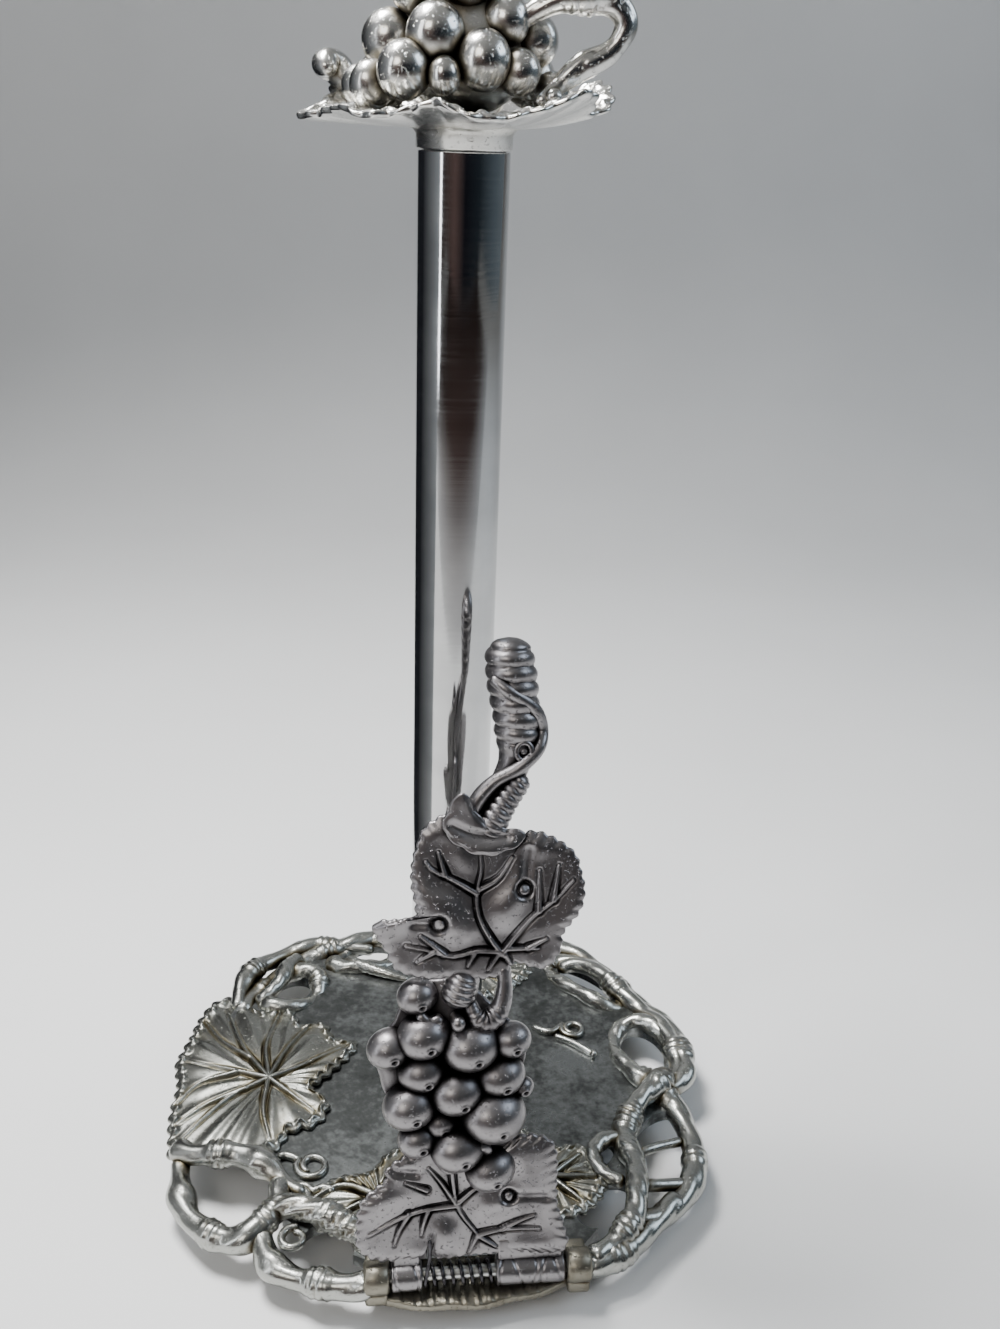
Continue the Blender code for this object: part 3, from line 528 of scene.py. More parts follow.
# The stems that cross on the right of the arm, and fork on its left
rim_vines += [
    vine([(52, 62, 14), (60, 62, 16), (68, 54, 17.5), (75, 43, 16), (82, 32, 14.5), (87, 21, 16),
          (90, 8, 14.5), (88, -4, 13.5), (80, -13, 14)],
         [2.6, 3.6, 3.8, 3.4, 3.8, 4.0, 3.4], wraps=[(0.3, 9, 1.3), (0.75, 8, 1.2)]),
    vine([(84, -3, 14), (79, -12, 17.5), (70, -20, 18), (64, -28, 16), (61, -37, 15.5), (62, -50, 17),
          (60, -62, 17.5), (57, -71, 16), (49, -79, 14), (40, -84, 13)],
         [3.0, 4.2, 3.8, 4.3, 4.0, 3.6, 3.8], pitch=22,
         wraps=[(0.1, 9, 1.6), (0.34, 11, 1.5), (0.83, 9, 1.2)]),
    vine([(69, 2, 14.5), (72, -6, 16), (79, -13, 14.5), (84, -24, 12.5), (85.5, -37, 11.5), (83, -50, 11),
          (76, -61, 11), (66, -68, 12), (56, -70, 14.5)],
         [3.2, 4.3, 4.0, 4.4, 3.9, 3.2], wraps=[(0.22, 8, 1.4), (0.55, 6, 1.0)]),
    vine([(62, -44, 15), (70, -41, 15), (82, -36, 12.5)], [1.5, 1.7, 1.6], strands=0),
    vine([(61, -57, 15), (68, -57, 14.5), (79, -55, 12)], [2.4, 2.0, 2.4], strands=0),
    vine([(38, -85, 11), (48, -82, 11), (58, -76, 11.5), (68, -67, 11.5), (76, -60, 11.5)],
         [4.0, 4.3, 3.8, 4.2], wraps=[(0.3, 8, 1.1)]),
    vine([(61, -37, 15.5), (54, -37, 16.5), (48.5, -43, 16.5), (50, -51, 16), (57, -57, 16)],
         [2.6, 3.0, 2.6, 2.8], pitch=18),
    vine([(-96, -27, 13), (-88, -33, 15.5), (-75, -35, 17), (-64, -40, 16.5), (-56, -48, 15),
          (-50, -53, 14.5)], [3.4, 4.4, 3.7, 4.6, 3.6, 2.4], lumps=0.13, wraps=[(0.35, 8, 1.2)]),
    vine([(-93, -31, 12), (-92, -43, 10.5), (-88, -54, 10), (-80, -62, 10), (-71, -66, 11),
          (-64, -63, 13.5), (-59, -56, 15.5), (-59, -46, 16)],
         [3.6, 4.4, 4.0, 4.6, 4.0, 3.4], lumps=0.1, wraps=[(0.5, 7, 1.0), (0.8, 8, 1.4)]),
    vine([(-62, -57, 15), (-52, -60, 17.5), (-42, -64, 17), (-33, -70, 15.5), (-29, -77, 14)],
         [3.6, 4.4, 4.2, 3.4], strands=5, groove=0.3, pitch=40, wraps=[(0.6, 13, 1.0)]),
    vine([(-64, -64, 13), (-61, -74, 10.5), (-54, -80, 10), (-44, -84, 10.5), (-34, -87, 11.5),
          (-27, -87, 13)], [3.6, 4.3, 4.0, 4.2, 4.2], lumps=0.08, wraps=[(0.62, 8, 1.0)]),
    vine([(-80, 44, 14), (-79, 57, 16.5), (-74, 68, 16), (-64, 76, 15), (-52, 82, 15.5), (-38, 82, 15),
          (-25, 80, 14)], [2.8, 3.8, 3.5, 3.9, 3.2, 2.6], wraps=[(0.3, 8, 1.2), (0.75, 8, 1.1)]),
    vine([(-72, 46, 15), (-64, 56, 17.5), (-61, 66, 17.5), (-56, 75, 15)], [2.8, 3.6, 3.0], pitch=16),
    vine([(-37, 72, 15), (-30, 66, 16.5), (-20, 61, 16), (-11, 58, 14.6)], [2.6, 2.4, 1.2], pitch=9),
]
finished("rim_vines", joined(rim_vines), bright_vine, *BASE_CASTING)


# ---- Leaves on the base ---------------------------------------------------------------------
# Vine leaves in low relief, cast with the plate: the big one spreads over its left edge, and
# smaller ones lie at the back and beside the hinge. Their rims are cast as rows of beads.


def to_line(x, y, points):
    """The distance from each place to a line of points, and where along it from 0 to 1."""
    line = smooth_line(points, 2.5)[0]
    nearest = np.full(len(x), 1e6)
    where = np.zeros(len(x))
    for index, (start, end) in enumerate(zip(line, line[1:])):
        step = end - start
        t = np.clip(((x - start[0]) * step[0] + (y - start[1]) * step[1]) / step.dot(step), 0, 1)
        distance = np.hypot(x - start[0] - t * step[0], y - start[1] - t * step[1])
        where = np.where(distance < nearest, (index + t) / (len(line) - 1), where)
        nearest = np.minimum(nearest, distance)
    return nearest, where


def leaf(outline, centre, veins, lay, teeth, pillow, creases=(), eyes=(), thickness=3.2, beads=0.0,
         flutes=0, vein_width=1.15, rings=66, spokes=300):
    """A cast leaf: its blade swells between raised veins with a groove beside each.

    An eye is (x, y, radius): a bead in a socket. A crease is a line of (x, y). Teeth are (length,
    depth) along the edge, and pillow is how far the blade swells. Lay sets each point in place."""
    edge, along = smooth_line(outline, 0.8, closed=True)
    middle = np.array(centre, float)
    way = np.gradient(edge, axis=0)
    way[0] = way[-1] = edge[1] - edge[-2]
    out = np.column_stack([way[:, 1], -way[:, 0]]) / np.linalg.norm(way, axis=1)[:, None]
    out *= np.sign(np.median(np.sum(out * (edge - middle), axis=1)))
    count = round(along[-1] / teeth[0])
    saw = (along / along[-1] * count) % 1
    tooth = out * (teeth[1] * (1 - np.abs(2 * saw - 1) ** 1.5) - teeth[1] / 2)[:, None]
    around = along / along[-1]
    rim_rows, back_rows = 8, 12
    rows = rings + rim_rows + back_rows

    def relief(x, y, reach, u):
        high = np.zeros(len(x))
        low = np.zeros(len(x))
        cover = np.zeros(len(x))
        for points in veins:
            distance, where = to_line(x, y, points)
            width = vein_width * (1.15 - 0.6 * where)
            high = np.maximum(high, 1.3 * np.sqrt(np.clip(width ** 2 - distance ** 2, 0, None)))
            low = np.maximum(low, 0.65 * width * np.exp(-((distance - 1.4 * width) / (0.5 * width)) ** 2))
            cover = cover + np.exp(-(distance / 4.4) ** 2)
        blade = pillow * np.exp(-1.6 * cover) * (1 - reach ** 7)
        for points in creases:
            distance = to_line(x, y, points)[0]
            blade = blade - 1.0 * np.exp(-(distance / 1.5) ** 2)
        if flutes:
            turn = np.arctan2(y - middle[1], x - middle[0])
            flute = np.sin(flutes * turn + 4 * np.sin(3 * turn) * reach)
            blade = blade + 0.28 * flute * np.minimum(reach * 2, 1)
        if beads:
            run = along[-1] * (1 - reach) / math.tau
            bead = 0.55 + 0.45 * np.cos(math.tau * count * u)
            blade = blade + beads * bead * np.exp(-((run - 1.6) / 1.3) ** 2)
        height = np.where(high > 0.02, np.maximum(high, blade * 0.4), blade - low)
        for eye_x, eye_y, size in eyes:
            distance = np.hypot(x - eye_x, y - eye_y) / size
            height = height - 2.0 * np.exp(-distance ** 4)
            height = height + 2.6 * np.sqrt(np.clip(1 - (distance / 0.72) ** 2, 0, 1))
        return height

    def surface(u, v):
        row = np.rint(v * rows)
        reach = np.clip(np.where(row <= rings, row / rings, 1 - (row - rings - rim_rows) / back_rows), 0, 1)
        turn = math.pi * np.clip((row - rings) / rim_rows, 0, 1)
        rim = np.column_stack([np.interp(u, around, axis) for axis in edge.T])
        normal = np.column_stack([np.interp(u, around, axis) for axis in out.T])
        edge_thickness = thickness * 0.62
        spot = middle + (rim - middle) * reach[:, None]
        notch = np.column_stack([np.interp(u, around, axis) for axis in tooth.T])
        spot = spot + notch * (reach ** 14)[:, None]
        front = relief(spot[:, 0], spot[:, 1], reach, u)
        back = -edge_thickness - (thickness - edge_thickness) * (1 - reach ** 3)
        height = front + (back - front) * (1 - np.cos(turn)) / 2
        spot = spot + normal * (0.5 * edge_thickness * np.sin(turn))[:, None]
        return lay(spot[:, 0], spot[:, 1], height)

    return moulded(rows, spokes, surface)


def on_plate(rise, crown, middle, spread):
    """Lays a leaf on the plate, its middle crowned and its edge near the metal."""
    def lay(x, y, height):
        from_middle = np.hypot(x - middle[0], y - middle[1]) / spread
        level = PLATE_TOP + rise + crown * (1 - np.clip(from_middle, 0, 1.2) ** 2)
        return np.column_stack([x, y, level + height])
    return lay


def fan(middle, *ways):
    """Veins that all start at a leaf's middle and go their own ways."""
    return [[middle, *way] for way in ways]


# Polished, then left to tarnish: brown patches between bright ribs, and painted shade in the hollows
tarnished = cast_metal("tarnished_cast_aluminium", "#94958f", "#645c45", "#120e0a", 0.27, tarnish=0.9,
                       shade_reach=3.4)
large_leaf = leaf(
    [(-87, 51), (-93, 41), (-96, 27), (-99, 14), (-97, 1), (-98, -12), (-97, -24), (-95, -32),
     (-84, -31), (-73, -34), (-61, -31), (-57, -24), (-47, -20), (-44, -11), (-50, -4), (-42, 6),
     (-33, 20), (-42, 23), (-46, 33), (-55, 32), (-60, 43), (-70, 41), (-78, 50)],
    (-65, 1),
    fan((-65, 1), [(-76, 20), (-84, 45)], [(-82, 8), (-96, 14)], [(-80, -9), (-95, -27)],
        [(-66, -14), (-63, -28)], [(-56, -8), (-48, -16)], [(-52, 8), (-37, 19)], [(-59, 17), (-52, 30)],
        [(-67, 20), (-63, 40)]) + [
        [(-73, 13), (-84, 24), (-92, 38)], [(-77, 5), (-90, 1), (-97, -8)],
        [(-73, -4), (-86, -10), (-96, -18)]],
    on_plate(0.9, 2.2, (-65, 1), 38), beads=1.6, flutes=22, teeth=(5.4, 1.8), pillow=1.3,
    vein_width=0.95, rings=90, spokes=420)
finished("large_leaf", large_leaf, tarnished, *BASE_CASTING)

small_leaves = [
    leaf([(-14, -33), (-22, -37), (-28, -45), (-40, -47), (-52, -55), (-47, -64), (-36, -69), (-22, -69),
          (-10, -58), (-6, -45)], (-26, -56),
         fan((-26, -56), [(-16, -38)], [(-38, -50), (-50, -56)], [(-40, -62)], [(-12, -55)], [(-25, -67)]),
         on_plate(0.5, 1.2, (-26, -56), 24), beads=1.4, flutes=26, teeth=(4.4, 1.4), pillow=0.5),
    leaf([(20, -28), (29, -31), (36, -38), (46, -38), (52, -47), (49, -58), (40, -66), (27, -68), (15, -58),
          (12, -42)], (32, -52),
         fan((32, -52), [(22, -32)], [(44, -42)], [(50, -52)], [(42, -63)], [(28, -66)], [(16, -52)]),
         on_plate(0.5, 1.2, (32, -52), 24), beads=1.4, flutes=26, teeth=(4.4, 1.4), pillow=0.5),
    leaf([(8, 40), (18, 44), (30, 50), (40, 62), (36, 74), (24, 82), (8, 84), (-6, 76), (-8, 62), (0, 50)],
         (16, 64),
         fan((16, 64), [(10, 43)], [(30, 53)], [(37, 66)], [(24, 80)], [(6, 80)], [(-4, 66)]),
         on_plate(0.6, 1.2, (16, 64), 26), beads=1.5, flutes=24, teeth=(4.6, 1.5), pillow=0.6),
]
finished("small_leaves", joined(small_leaves), tarnished, *BASE_CASTING)


# ---- Tendrils and hinge lugs ----------------------------------------------------------------
# Fine tendrils curl over the plate. At the front a lip runs under the hinge, rough from the
# mould, and a lug at each end of it is bored for the hinge pin.


POINTS_A_TURN = 14


def curl(x, y, radius, turns, start, tail=()):
    """A tendril that winds in to a spiral, after the points of its tail."""
    points = list(tail)
    steps = max(8, round(POINTS_A_TURN * turns))
    for step in range(steps + 1):
        angle = start + math.tau * turns * step / steps
        reach = radius * (1 - 0.5 * step / steps)
        points.append((x + reach * math.cos(angle), y + reach * math.sin(angle), PLATE_TOP + 0.9))
    return vine(points, [1.3, 1.3, 1.1], strands=0, lumps=0.05, around=12)


tendrils = [
    curl(-48, -40, 5.6, 1.3, 2.6, [(-60, -36, 15.5), (-57, -35, 15.2)]),
    curl(-52, -53, 5.0, 1.2, 0.4, [(-40, -52, 15), (-44, -50, 15)]),
    curl(-53, -70, 4.6, 1.1, 1.2),
    curl(52, 23, 4.6, 1.4, 2.4, [(36, 26, 14.4), (43, 22, 14.9)]),
    vine([(44, 20, 14.7), (51, 15, 14.9), (58, 8, 14.8)], [1.3, 1.4, 1.2], strands=0, around=12),
    vine([(57, 9, 14.8), (59, 7, 14.9)], [1.9, 1.9], strands=0, around=14),
]

LUG_RADIUS = 5.2
PIN_BORE = 2.3
LIP_BOTTOM = 6.0
LIP_TOP = 9.5
LIP_RADIUS = 94.0  # of the arc that its front follows


def turned(profile, steps=64, turn=Matrix.Identity(4)):
    """A closed profile of (radius, height) in millimetres, turned about Z, then put in place."""
    shape = bmesh.new()
    verts = [shape.verts.new((radius * MM, 0, height * MM)) for radius, height in profile]
    edges = [shape.edges.new(pair) for pair in zip(verts, verts[1:] + verts[:1])]
    bmesh.ops.spin(shape, geom=verts + edges, axis=(0, 0, 1), cent=(0, 0, 0), angle=math.tau,
                   steps=steps, use_merge=True)
    bmesh.ops.remove_doubles(shape, verts=shape.verts, dist=1e-6)
    bmesh.ops.recalc_face_normals(shape, faces=shape.faces)
    bmesh.ops.transform(shape, matrix=turn, verts=shape.verts)
    return shape


def sleeve(inner, outer, low, high, break_edge):
    """The profile of a round sleeve or washer with broken edges."""
    return [(inner, high), (outer - break_edge, high), (outer, high - break_edge),
            (outer, low + break_edge), (outer - break_edge, low), (inner, low)]


def along_x(x, y, z):
    """Turns an upright piece to lie along X, from a point in millimetres."""
    return Matrix.Translation(Vector((x, y, z)) * MM) @ Matrix.Rotation(math.pi / 2, 4, "Y")


def lip_surface(u, v):
    """The lip: an arc of rough bar under the hinge."""
    x = LUGS[0][0] + (LUGS[1][1] - LUGS[0][0]) * v
    front = -np.sqrt(LIP_RADIUS ** 2 - x ** 2) - 0.4 * np.sin(x / 3.1)
    back = hinge.y + 3.2
    angle = u * math.tau
    round_y = np.sign(np.cos(angle)) * np.abs(np.cos(angle)) ** 0.45
    round_z = np.sign(np.sin(angle)) * np.abs(np.sin(angle)) ** 0.45
    rough = 0.45 * np.sin(x * 1.1 + 2 * angle) * np.sin(x * 0.7) + 0.2 * np.sin(x * 3.1 + angle)
    end = np.where((v < 0.004) | (v > 0.996), 0.0, 1.0)
    y = (front + back) / 2 + (front - back) / 2 * round_y * end
    z = (LIP_TOP + LIP_BOTTOM) / 2 + ((LIP_TOP - LIP_BOTTOM) / 2 * round_z + rough * 0.6) * end
    return np.column_stack([x, y, z])


lugs = []
for low, high in LUGS:
    lugs.append(turned(sleeve(PIN_BORE, LUG_RADIUS, low, high, 0.9), 48, along_x(0, hinge.y, hinge.z)))
    lugs.append(brick((low + 0.4, hinge.y + PIN_BORE + 0.4, LIP_BOTTOM + 0.5),
                      (high - 0.4, hinge.y + 10, PLATE_TOP + 1.4), 1.4))
    lugs.append(brick((low + 0.4, hinge.y - LUG_RADIUS + 0.9, LIP_BOTTOM + 0.6),
                      (high - 0.4, hinge.y + 7, hinge.z - PIN_BORE - 0.4), 1.2))

# Left as it came from the sand: pitted, dull and brownish all over, with painted shade in its corners
lip_metal = cast_metal("rough_cast_aluminium", "#837f73", "#544a37", "#120e09", 0.38, tarnish=1.2, pits=0.6)
finished("hinge_lugs", joined(lugs), lip_metal, *BASE_CASTING)
finished("hinge_lip", moulded(120, 40, lip_surface), lip_metal, *BASE_CASTING)
finished("tendrils", joined(tendrils), bright_vine, *BASE_CASTING)


# ---- Feet -----------------------------------------------------------------------------------
# Four soft rubber feet, moulded with a rounded tread that is hollow in the middle, and stuck
# under the plate. They keep the metal clear of the table.

# Moulded rubber: black and dull, with grey dust where it has been handled
rubber, tree, shader, place = fresh_material("moulded_black_rubber")
shader.inputs["Specular IOR Level"].default_value = 0.3
dust = node(tree, "TexNoise", {"Scale": 1 / (3 * MM), "Detail": 3.0}, {"Vector": place}).outputs["Fac"]
wear = node(tree, "MapRange", {"To Min": 0.65, "To Max": 0.9}, {"Value": dust})
skin = node(tree, "Bump", {"Strength": 0.4, "Distance": 0.05 * MM}, {"Height": dust})
dress(tree, shader, ramp(tree, dust, [(0.35, "#161616"), (0.7, "#2b2a29")]), wear, skin)


def corners(solid):
    """The lowest and highest corners of one of the frame's solids, in millimetres."""
    return [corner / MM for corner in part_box(solid)]


for number in (1, 2, 3, 4):
    low, high = corners(f"foot_{number}")
    radius = (high.x - low.x) / 2
    profile = [(0, high.z), (radius - 0.3, high.z), (radius, high.z - 0.3), (radius - 0.8, 1.6),
               (radius - 1.3, 0.5), (radius - 2.4, 0.0), (2.6, 0.0), (1.6, 0.6), (0, 0.6)]
    middle = Matrix.Translation(Vector(((low.x + high.x) / 2, (low.y + high.y) / 2, 0)) * MM)
    finished(f"soft_foot_{number}", turned(profile, 48, middle), rubber, "stand", "foot_rubber",
             [f"foot_{number}"], sharp=40)


# ---- Screw and washers from beneath ---------------------------------------------------------
# A zinc-plated hexagon screw with a split spring washer and a plain washer. It pulls the tube's
# lower plug down on to the plate.

# Bright zinc plating: bluish where it is clear and yellowish where it has hazed
zinc, tree, shader, place = fresh_material("zinc_plated_steel", 1.0)
spangle = node(tree, "TexNoise", {"Scale": 1 / (1.4 * MM), "Detail": 4.0}, {"Vector": place}).outputs["Fac"]
colour = ramp(tree, spangle, [(0.3, "#a5a49b"), (0.55, "#c2c3c1"), (0.75, "#cfd3d8")])
haze = node(tree, "MapRange", {"To Min": 0.24, "To Max": 0.42}, {"Value": spangle})
plated = node(tree, "Bump", {"Strength": 0.3, "Distance": 0.03 * MM}, {"Height": spangle})
dress(tree, shader, colour, haze, plated)

HEAD_HEIGHT = 2.6
HEAD_RADIUS = 6.0
SCREW_RADIUS = 3.0
SCREW_BORE = 3.3
THREAD_PITCH = 1.0
THREAD_DEPTH = 0.55
RUN_OUT = 0.8
SPLIT = 0.035  # of a turn, at each end of the split washer


def threaded(radius, bottom, top):
    """A threaded rod between two heights, its ends run out to a chamfer."""
    def thread(u, v):
        height = bottom + (top - bottom) * np.clip((v - 0.01) / 0.98, 0, 1)
        phase = (height / THREAD_PITCH + u) % 1
        ridge = THREAD_DEPTH * np.clip(1.25 - 2.5 * np.abs(phase - 0.5), 0, 1)
        end = np.minimum(np.minimum(height - bottom, top - height) / RUN_OUT, 1)
        reach = (radius - THREAD_DEPTH + ridge * end) * np.where((v < 0.005) | (v > 0.995), 0, 1)
        return np.column_stack([reach * np.cos(u * math.tau), reach * np.sin(u * math.tau), height])
    return moulded(round((top - bottom) / THREAD_PITCH * 10), 28, thread)


screw_low, screw_high = corners("tie_screw")
head = bmesh.new()
bmesh.ops.create_cone(head, cap_ends=True, segments=6, radius1=HEAD_RADIUS * MM, radius2=HEAD_RADIUS * MM,
                      depth=HEAD_HEIGHT * MM,
                      matrix=Matrix.Translation((0, 0, (screw_low.z + HEAD_HEIGHT / 2) * MM)))
bmesh.ops.bevel(head, geom=head.edges[:], offset=0.35 * MM, segments=2, affect="EDGES", profile=0.5,
                material=-1)
screw = joined([head, threaded(SCREW_RADIUS, screw_low.z + HEAD_HEIGHT - 0.2, screw_high.z)])
finished("hexagon_screw", screw, zinc, "stand", "zinc_plated_steel", ["tie_screw"], sharp=35)

washer_low, washer_high = corners("plain_washer")
washer = turned(sleeve(SCREW_BORE, washer_high.x, washer_low.z, washer_high.z, 0.2))
finished("flat_washer", washer, zinc, "stand", "zinc_plated_steel", ["plain_washer"], sharp=30)

washer_low, washer_high = corners("spring_washer")


def split_ring(u, v):
    """One turn of square wire, its cut ends sprung a little apart."""
    angle = math.tau * (SPLIT + (1 - 2 * SPLIT) * np.clip((v - 0.01) / 0.98, 0, 1))
    inner, outer = SCREW_BORE, washer_high.x
    closed = np.where((v < 0.005) | (v > 0.995), 0.0, 1.0)
    square = np.maximum(np.abs(np.cos(u * math.tau)), np.abs(np.sin(u * math.tau)))
    across = np.cos(u * math.tau) / square * closed
    up = np.sin(u * math.tau) / square * closed
    reach = (inner + outer) / 2 + across * (outer - inner) / 2
    level = (washer_low.z + washer_high.z) / 2 + up * 0.6 + 0.1 * np.cos(angle / 2)
    return np.column_stack([reach * np.cos(angle), reach * np.sin(angle), level])


finished("split_washer", moulded(64, 16, split_ring), zinc, "stand", "zinc_plated_steel",
         ["spring_washer"], sharp=40)


# ---- Centre tube and its plugs --------------------------------------------------------------
# One-inch round tube, drawn, ground and polished to a mirror, with a turned and tapped
# aluminium plug pressed into each end.

TUBE_WALL = 1.2
tube_low, tube_high = corners("centre_tube")

# Metal tube polished on a wheel: a mirror, with a haze that comes and goes in rings
mirror, tree, shader, place = fresh_material("mirror_polished_tube", 1.0)
# Rings left by the polishing wheel, drawn about 1 mm apart so that they show
wheel = node(tree, "Mapping", {"Scale": (6.0, 6.0, 900.0)}, {"Vector": place}).outputs["Vector"]
rings = node(tree, "TexNoise", {"Scale": 1.0, "Detail": 4.0}, {"Vector": wheel}).outputs["Fac"]
# Drawing lines that run up the tube, about 1.5 mm apart round it
drawn = node(tree, "Mapping", {"Scale": (650.0, 650.0, 5.0)}, {"Vector": place}).outputs["Vector"]
lines = node(tree, "TexNoise", {"Scale": 1.0, "Detail": 3.0}, {"Vector": drawn}).outputs["Fac"]
smears = node(tree, "TexNoise", {"Scale": 1 / (18 * MM), "Detail": 5.0}, {"Vector": place}).outputs["Fac"]
colour = ramp(tree, smears, [(0.3, "#bdbdbd"), (0.7, "#d3d3d2")])
haze = node(tree, "Math", {"operation": "MULTIPLY"}, {0: rings, 1: smears}).outputs[0]
haze = node(tree, "MapRange", {"From Min": 0.1, "From Max": 0.45, "To Min": 0.04, "To Max": 0.17},
            {"Value": haze})
ground = node(tree, "Bump", {"Strength": 0.25, "Distance": 0.02 * MM}, {"Height": rings})
ground = node(tree, "Bump", {"Strength": 0.25, "Distance": 0.03 * MM},
              {"Height": lines, "Normal": ground.outputs["Normal"]})
dress(tree, shader, colour, haze, ground)

section = sleeve(tube_high.x - TUBE_WALL, tube_high.x, tube_low.z, tube_high.z, 0.25)
finished("roll_tube", turned(section, 160), mirror, "stand", "polished_tube", ["centre_tube"], sharp=30)

# Aluminium bar turned on a lathe: pale, with the tool's feed marks, drawn 0.8 mm apart
plug_metal, tree, shader, place = fresh_material("lathe_turned_aluminium", 1.0)
feed = node(tree, "TexWave", {"wave_type": "RINGS", "rings_direction": "Z", "Scale": 1 / (2.5 * MM),
                              "Distortion": 0.4}, {"Vector": place}).outputs["Fac"]
dull = node(tree, "MapRange", {"To Min": 0.28, "To Max": 0.4}, {"Value": feed})
cut_marks = node(tree, "Bump", {"Strength": 0.4, "Distance": 0.03 * MM}, {"Height": feed})
dress(tree, shader, ramp(tree, feed, [(0.2, "#a9a9a8"), (0.8, "#c4c4c3")]), dull, cut_marks)

for name in ("lower_plug", "upper_plug"):
    low, high = corners(name)
    finished(f"tapped_{name}", turned(sleeve(SCREW_BORE, high.x, low.z, high.z, 0.6)), plug_metal, "stand",
             "turned_aluminium", [name], sharp=30)


# ---- Finial stud ----------------------------------------------------------------------------
# A length of zinc-plated threaded rod, locked in the finial and screwed into the tube's upper
# plug. It rises with the finial as that is unscrewed.

stud_low, stud_high = corners("finial_stud")
finished("threaded_stud", threaded(stud_high.x, stud_low.z, stud_high.z), zinc, "stud",
         "zinc_plated_steel", ["finial_stud"])


# ---- Finial: leaf cup, grapes and vine loop -------------------------------------------------
# One aluminium casting, polished brighter than the base: a neck the tube's width, a ruffled
# leaf spread flat as a cup, a pile of grapes on it and a loop of vine to turn it by.

NECK_BOTTOM = corners("finial_casting")[0].z
NECK_RADIUS = tube_high.x + 0.5
CUP_LEVEL = NECK_BOTTOM + 6.0
CUP_FLOOR = 1.4  # height of the leaf's middle over the neck
FINIAL_CASTING = ("finial", "bright_cast_aluminium", ["finial_casting"])

# Round the cup's rim: the angle, the radius, and the height over the neck
CUP_RIM = (
    (0, 39, 9.5), (14, 38, 11.5), (30, 33, 9), (50, 37, 8), (70, 41, 9.5), (88, 38, 8), (104, 33, 5),
    (124, 38, 8), (143, 43, 12), (158, 38, 7.5), (172, 40, 3.2), (181, 43.5, 1.6), (194, 38, 3.4),
    (210, 38, 3.8), (226, 40, 3.0), (240, 36, 3.6), (256, 38, 5.6), (268, 39, 3.4), (282, 37, 2.8),
    (296, 38, 4.8), (310, 41, 9.5), (322, 39, 8), (336, 34, 3.8), (348, 38, 6.5))

# Polished on a mop: nearly white on its ridges; the dark line in each hollow is painted shade
silver = cast_metal("bright_polished_cast_aluminium", "#d6d5d1", "#979080", "#2a251d", 0.22, tarnish=0.45,
                    shade_reach=4.0)


def cup_lay(x, y, height):
    """Spreads the leaf as a cup whose rim rises and dips as CUP_RIM says."""
    angles, radii, rises = np.array(CUP_RIM + ((360, *CUP_RIM[0][1:]),)).T
    bearing = np.degrees(np.arctan2(y, x)) % 360
    rise = np.interp(bearing, angles, rises)
    out = np.clip(np.hypot(x, y) / np.interp(bearing, angles, radii), 0, 1.1)
    ruffle = 0.5 * np.sin(9 * np.radians(bearing))
    level = CUP_LEVEL + CUP_FLOOR + (rise - CUP_FLOOR) * out ** 2.6 + ruffle * out ** 3
    return np.column_stack([x, y, level + height])


cup_outline = [ring_point(radius, degrees, 0)[:2] for degrees, radius, rise in CUP_RIM]
cup_veins = [[(0, 0), ring_point(20, degrees - 6, 0)[:2], ring_point(radius - 2, degrees, 0)[:2]]
             for degrees, radius, rise in CUP_RIM if radius >= 38]
cup = leaf(cup_outline, (0, 0), cup_veins, cup_lay, beads=1.3, teeth=(6.2, 1.5), pillow=0.7, thickness=2.4,
           flutes=18, rings=70, spokes=420)

neck = turned([(SCREW_BORE, NECK_BOTTOM), (NECK_RADIUS - 0.4, NECK_BOTTOM),
               (NECK_RADIUS, NECK_BOTTOM + 0.4), (NECK_RADIUS, CUP_LEVEL - 2.2),
               (NECK_RADIUS + 1.2, CUP_LEVEL - 0.6),
               (NECK_RADIUS + 4.5, CUP_LEVEL + 0.8), (NECK_RADIUS + 9, CUP_LEVEL + 1.6),
               (NECK_RADIUS + 3, CUP_LEVEL + 3.2), (SCREW_BORE, CUP_LEVEL + 3.2)], 96)
finished("leaf_cup", joined([cup, neck]), silver, *FINIAL_CASTING)


def grape(middle, radius, tip, wide=0.95, tall=0.95, dimple=0.0):
    """A grape, with the small ringed dimple that the flower left at its tip if it has one."""
    tip = np.array(tip, float) / np.linalg.norm(tip)
    side = np.cross(tip, (0.02, 0.03, 1.0))
    side /= np.linalg.norm(side)
    over = np.cross(tip, side)
    mark = 0.95 / radius

    def skin(u, v):
        polar = np.interp(v, [0, 0.3, 1], [0, 3.2 * mark, math.pi])
        turn = u * math.tau
        reach = radius * (1 + 0.02 * np.sin(2 * turn + radius) * np.sin(polar))
        reach = reach + 0.3 * dimple * np.exp(-((polar - 1.2 * mark) / (0.42 * mark)) ** 2)
        reach = reach - dimple * np.exp(-(polar / (0.62 * mark)) ** 2)
        flat = reach * np.sin(polar)
        return (np.array(middle) + tip * (reach * np.cos(polar))[:, None]
                + side * (wide * flat * np.cos(turn))[:, None]
                + over * (tall * flat * np.sin(turn))[:, None])

    return moulded(40, 40, skin)


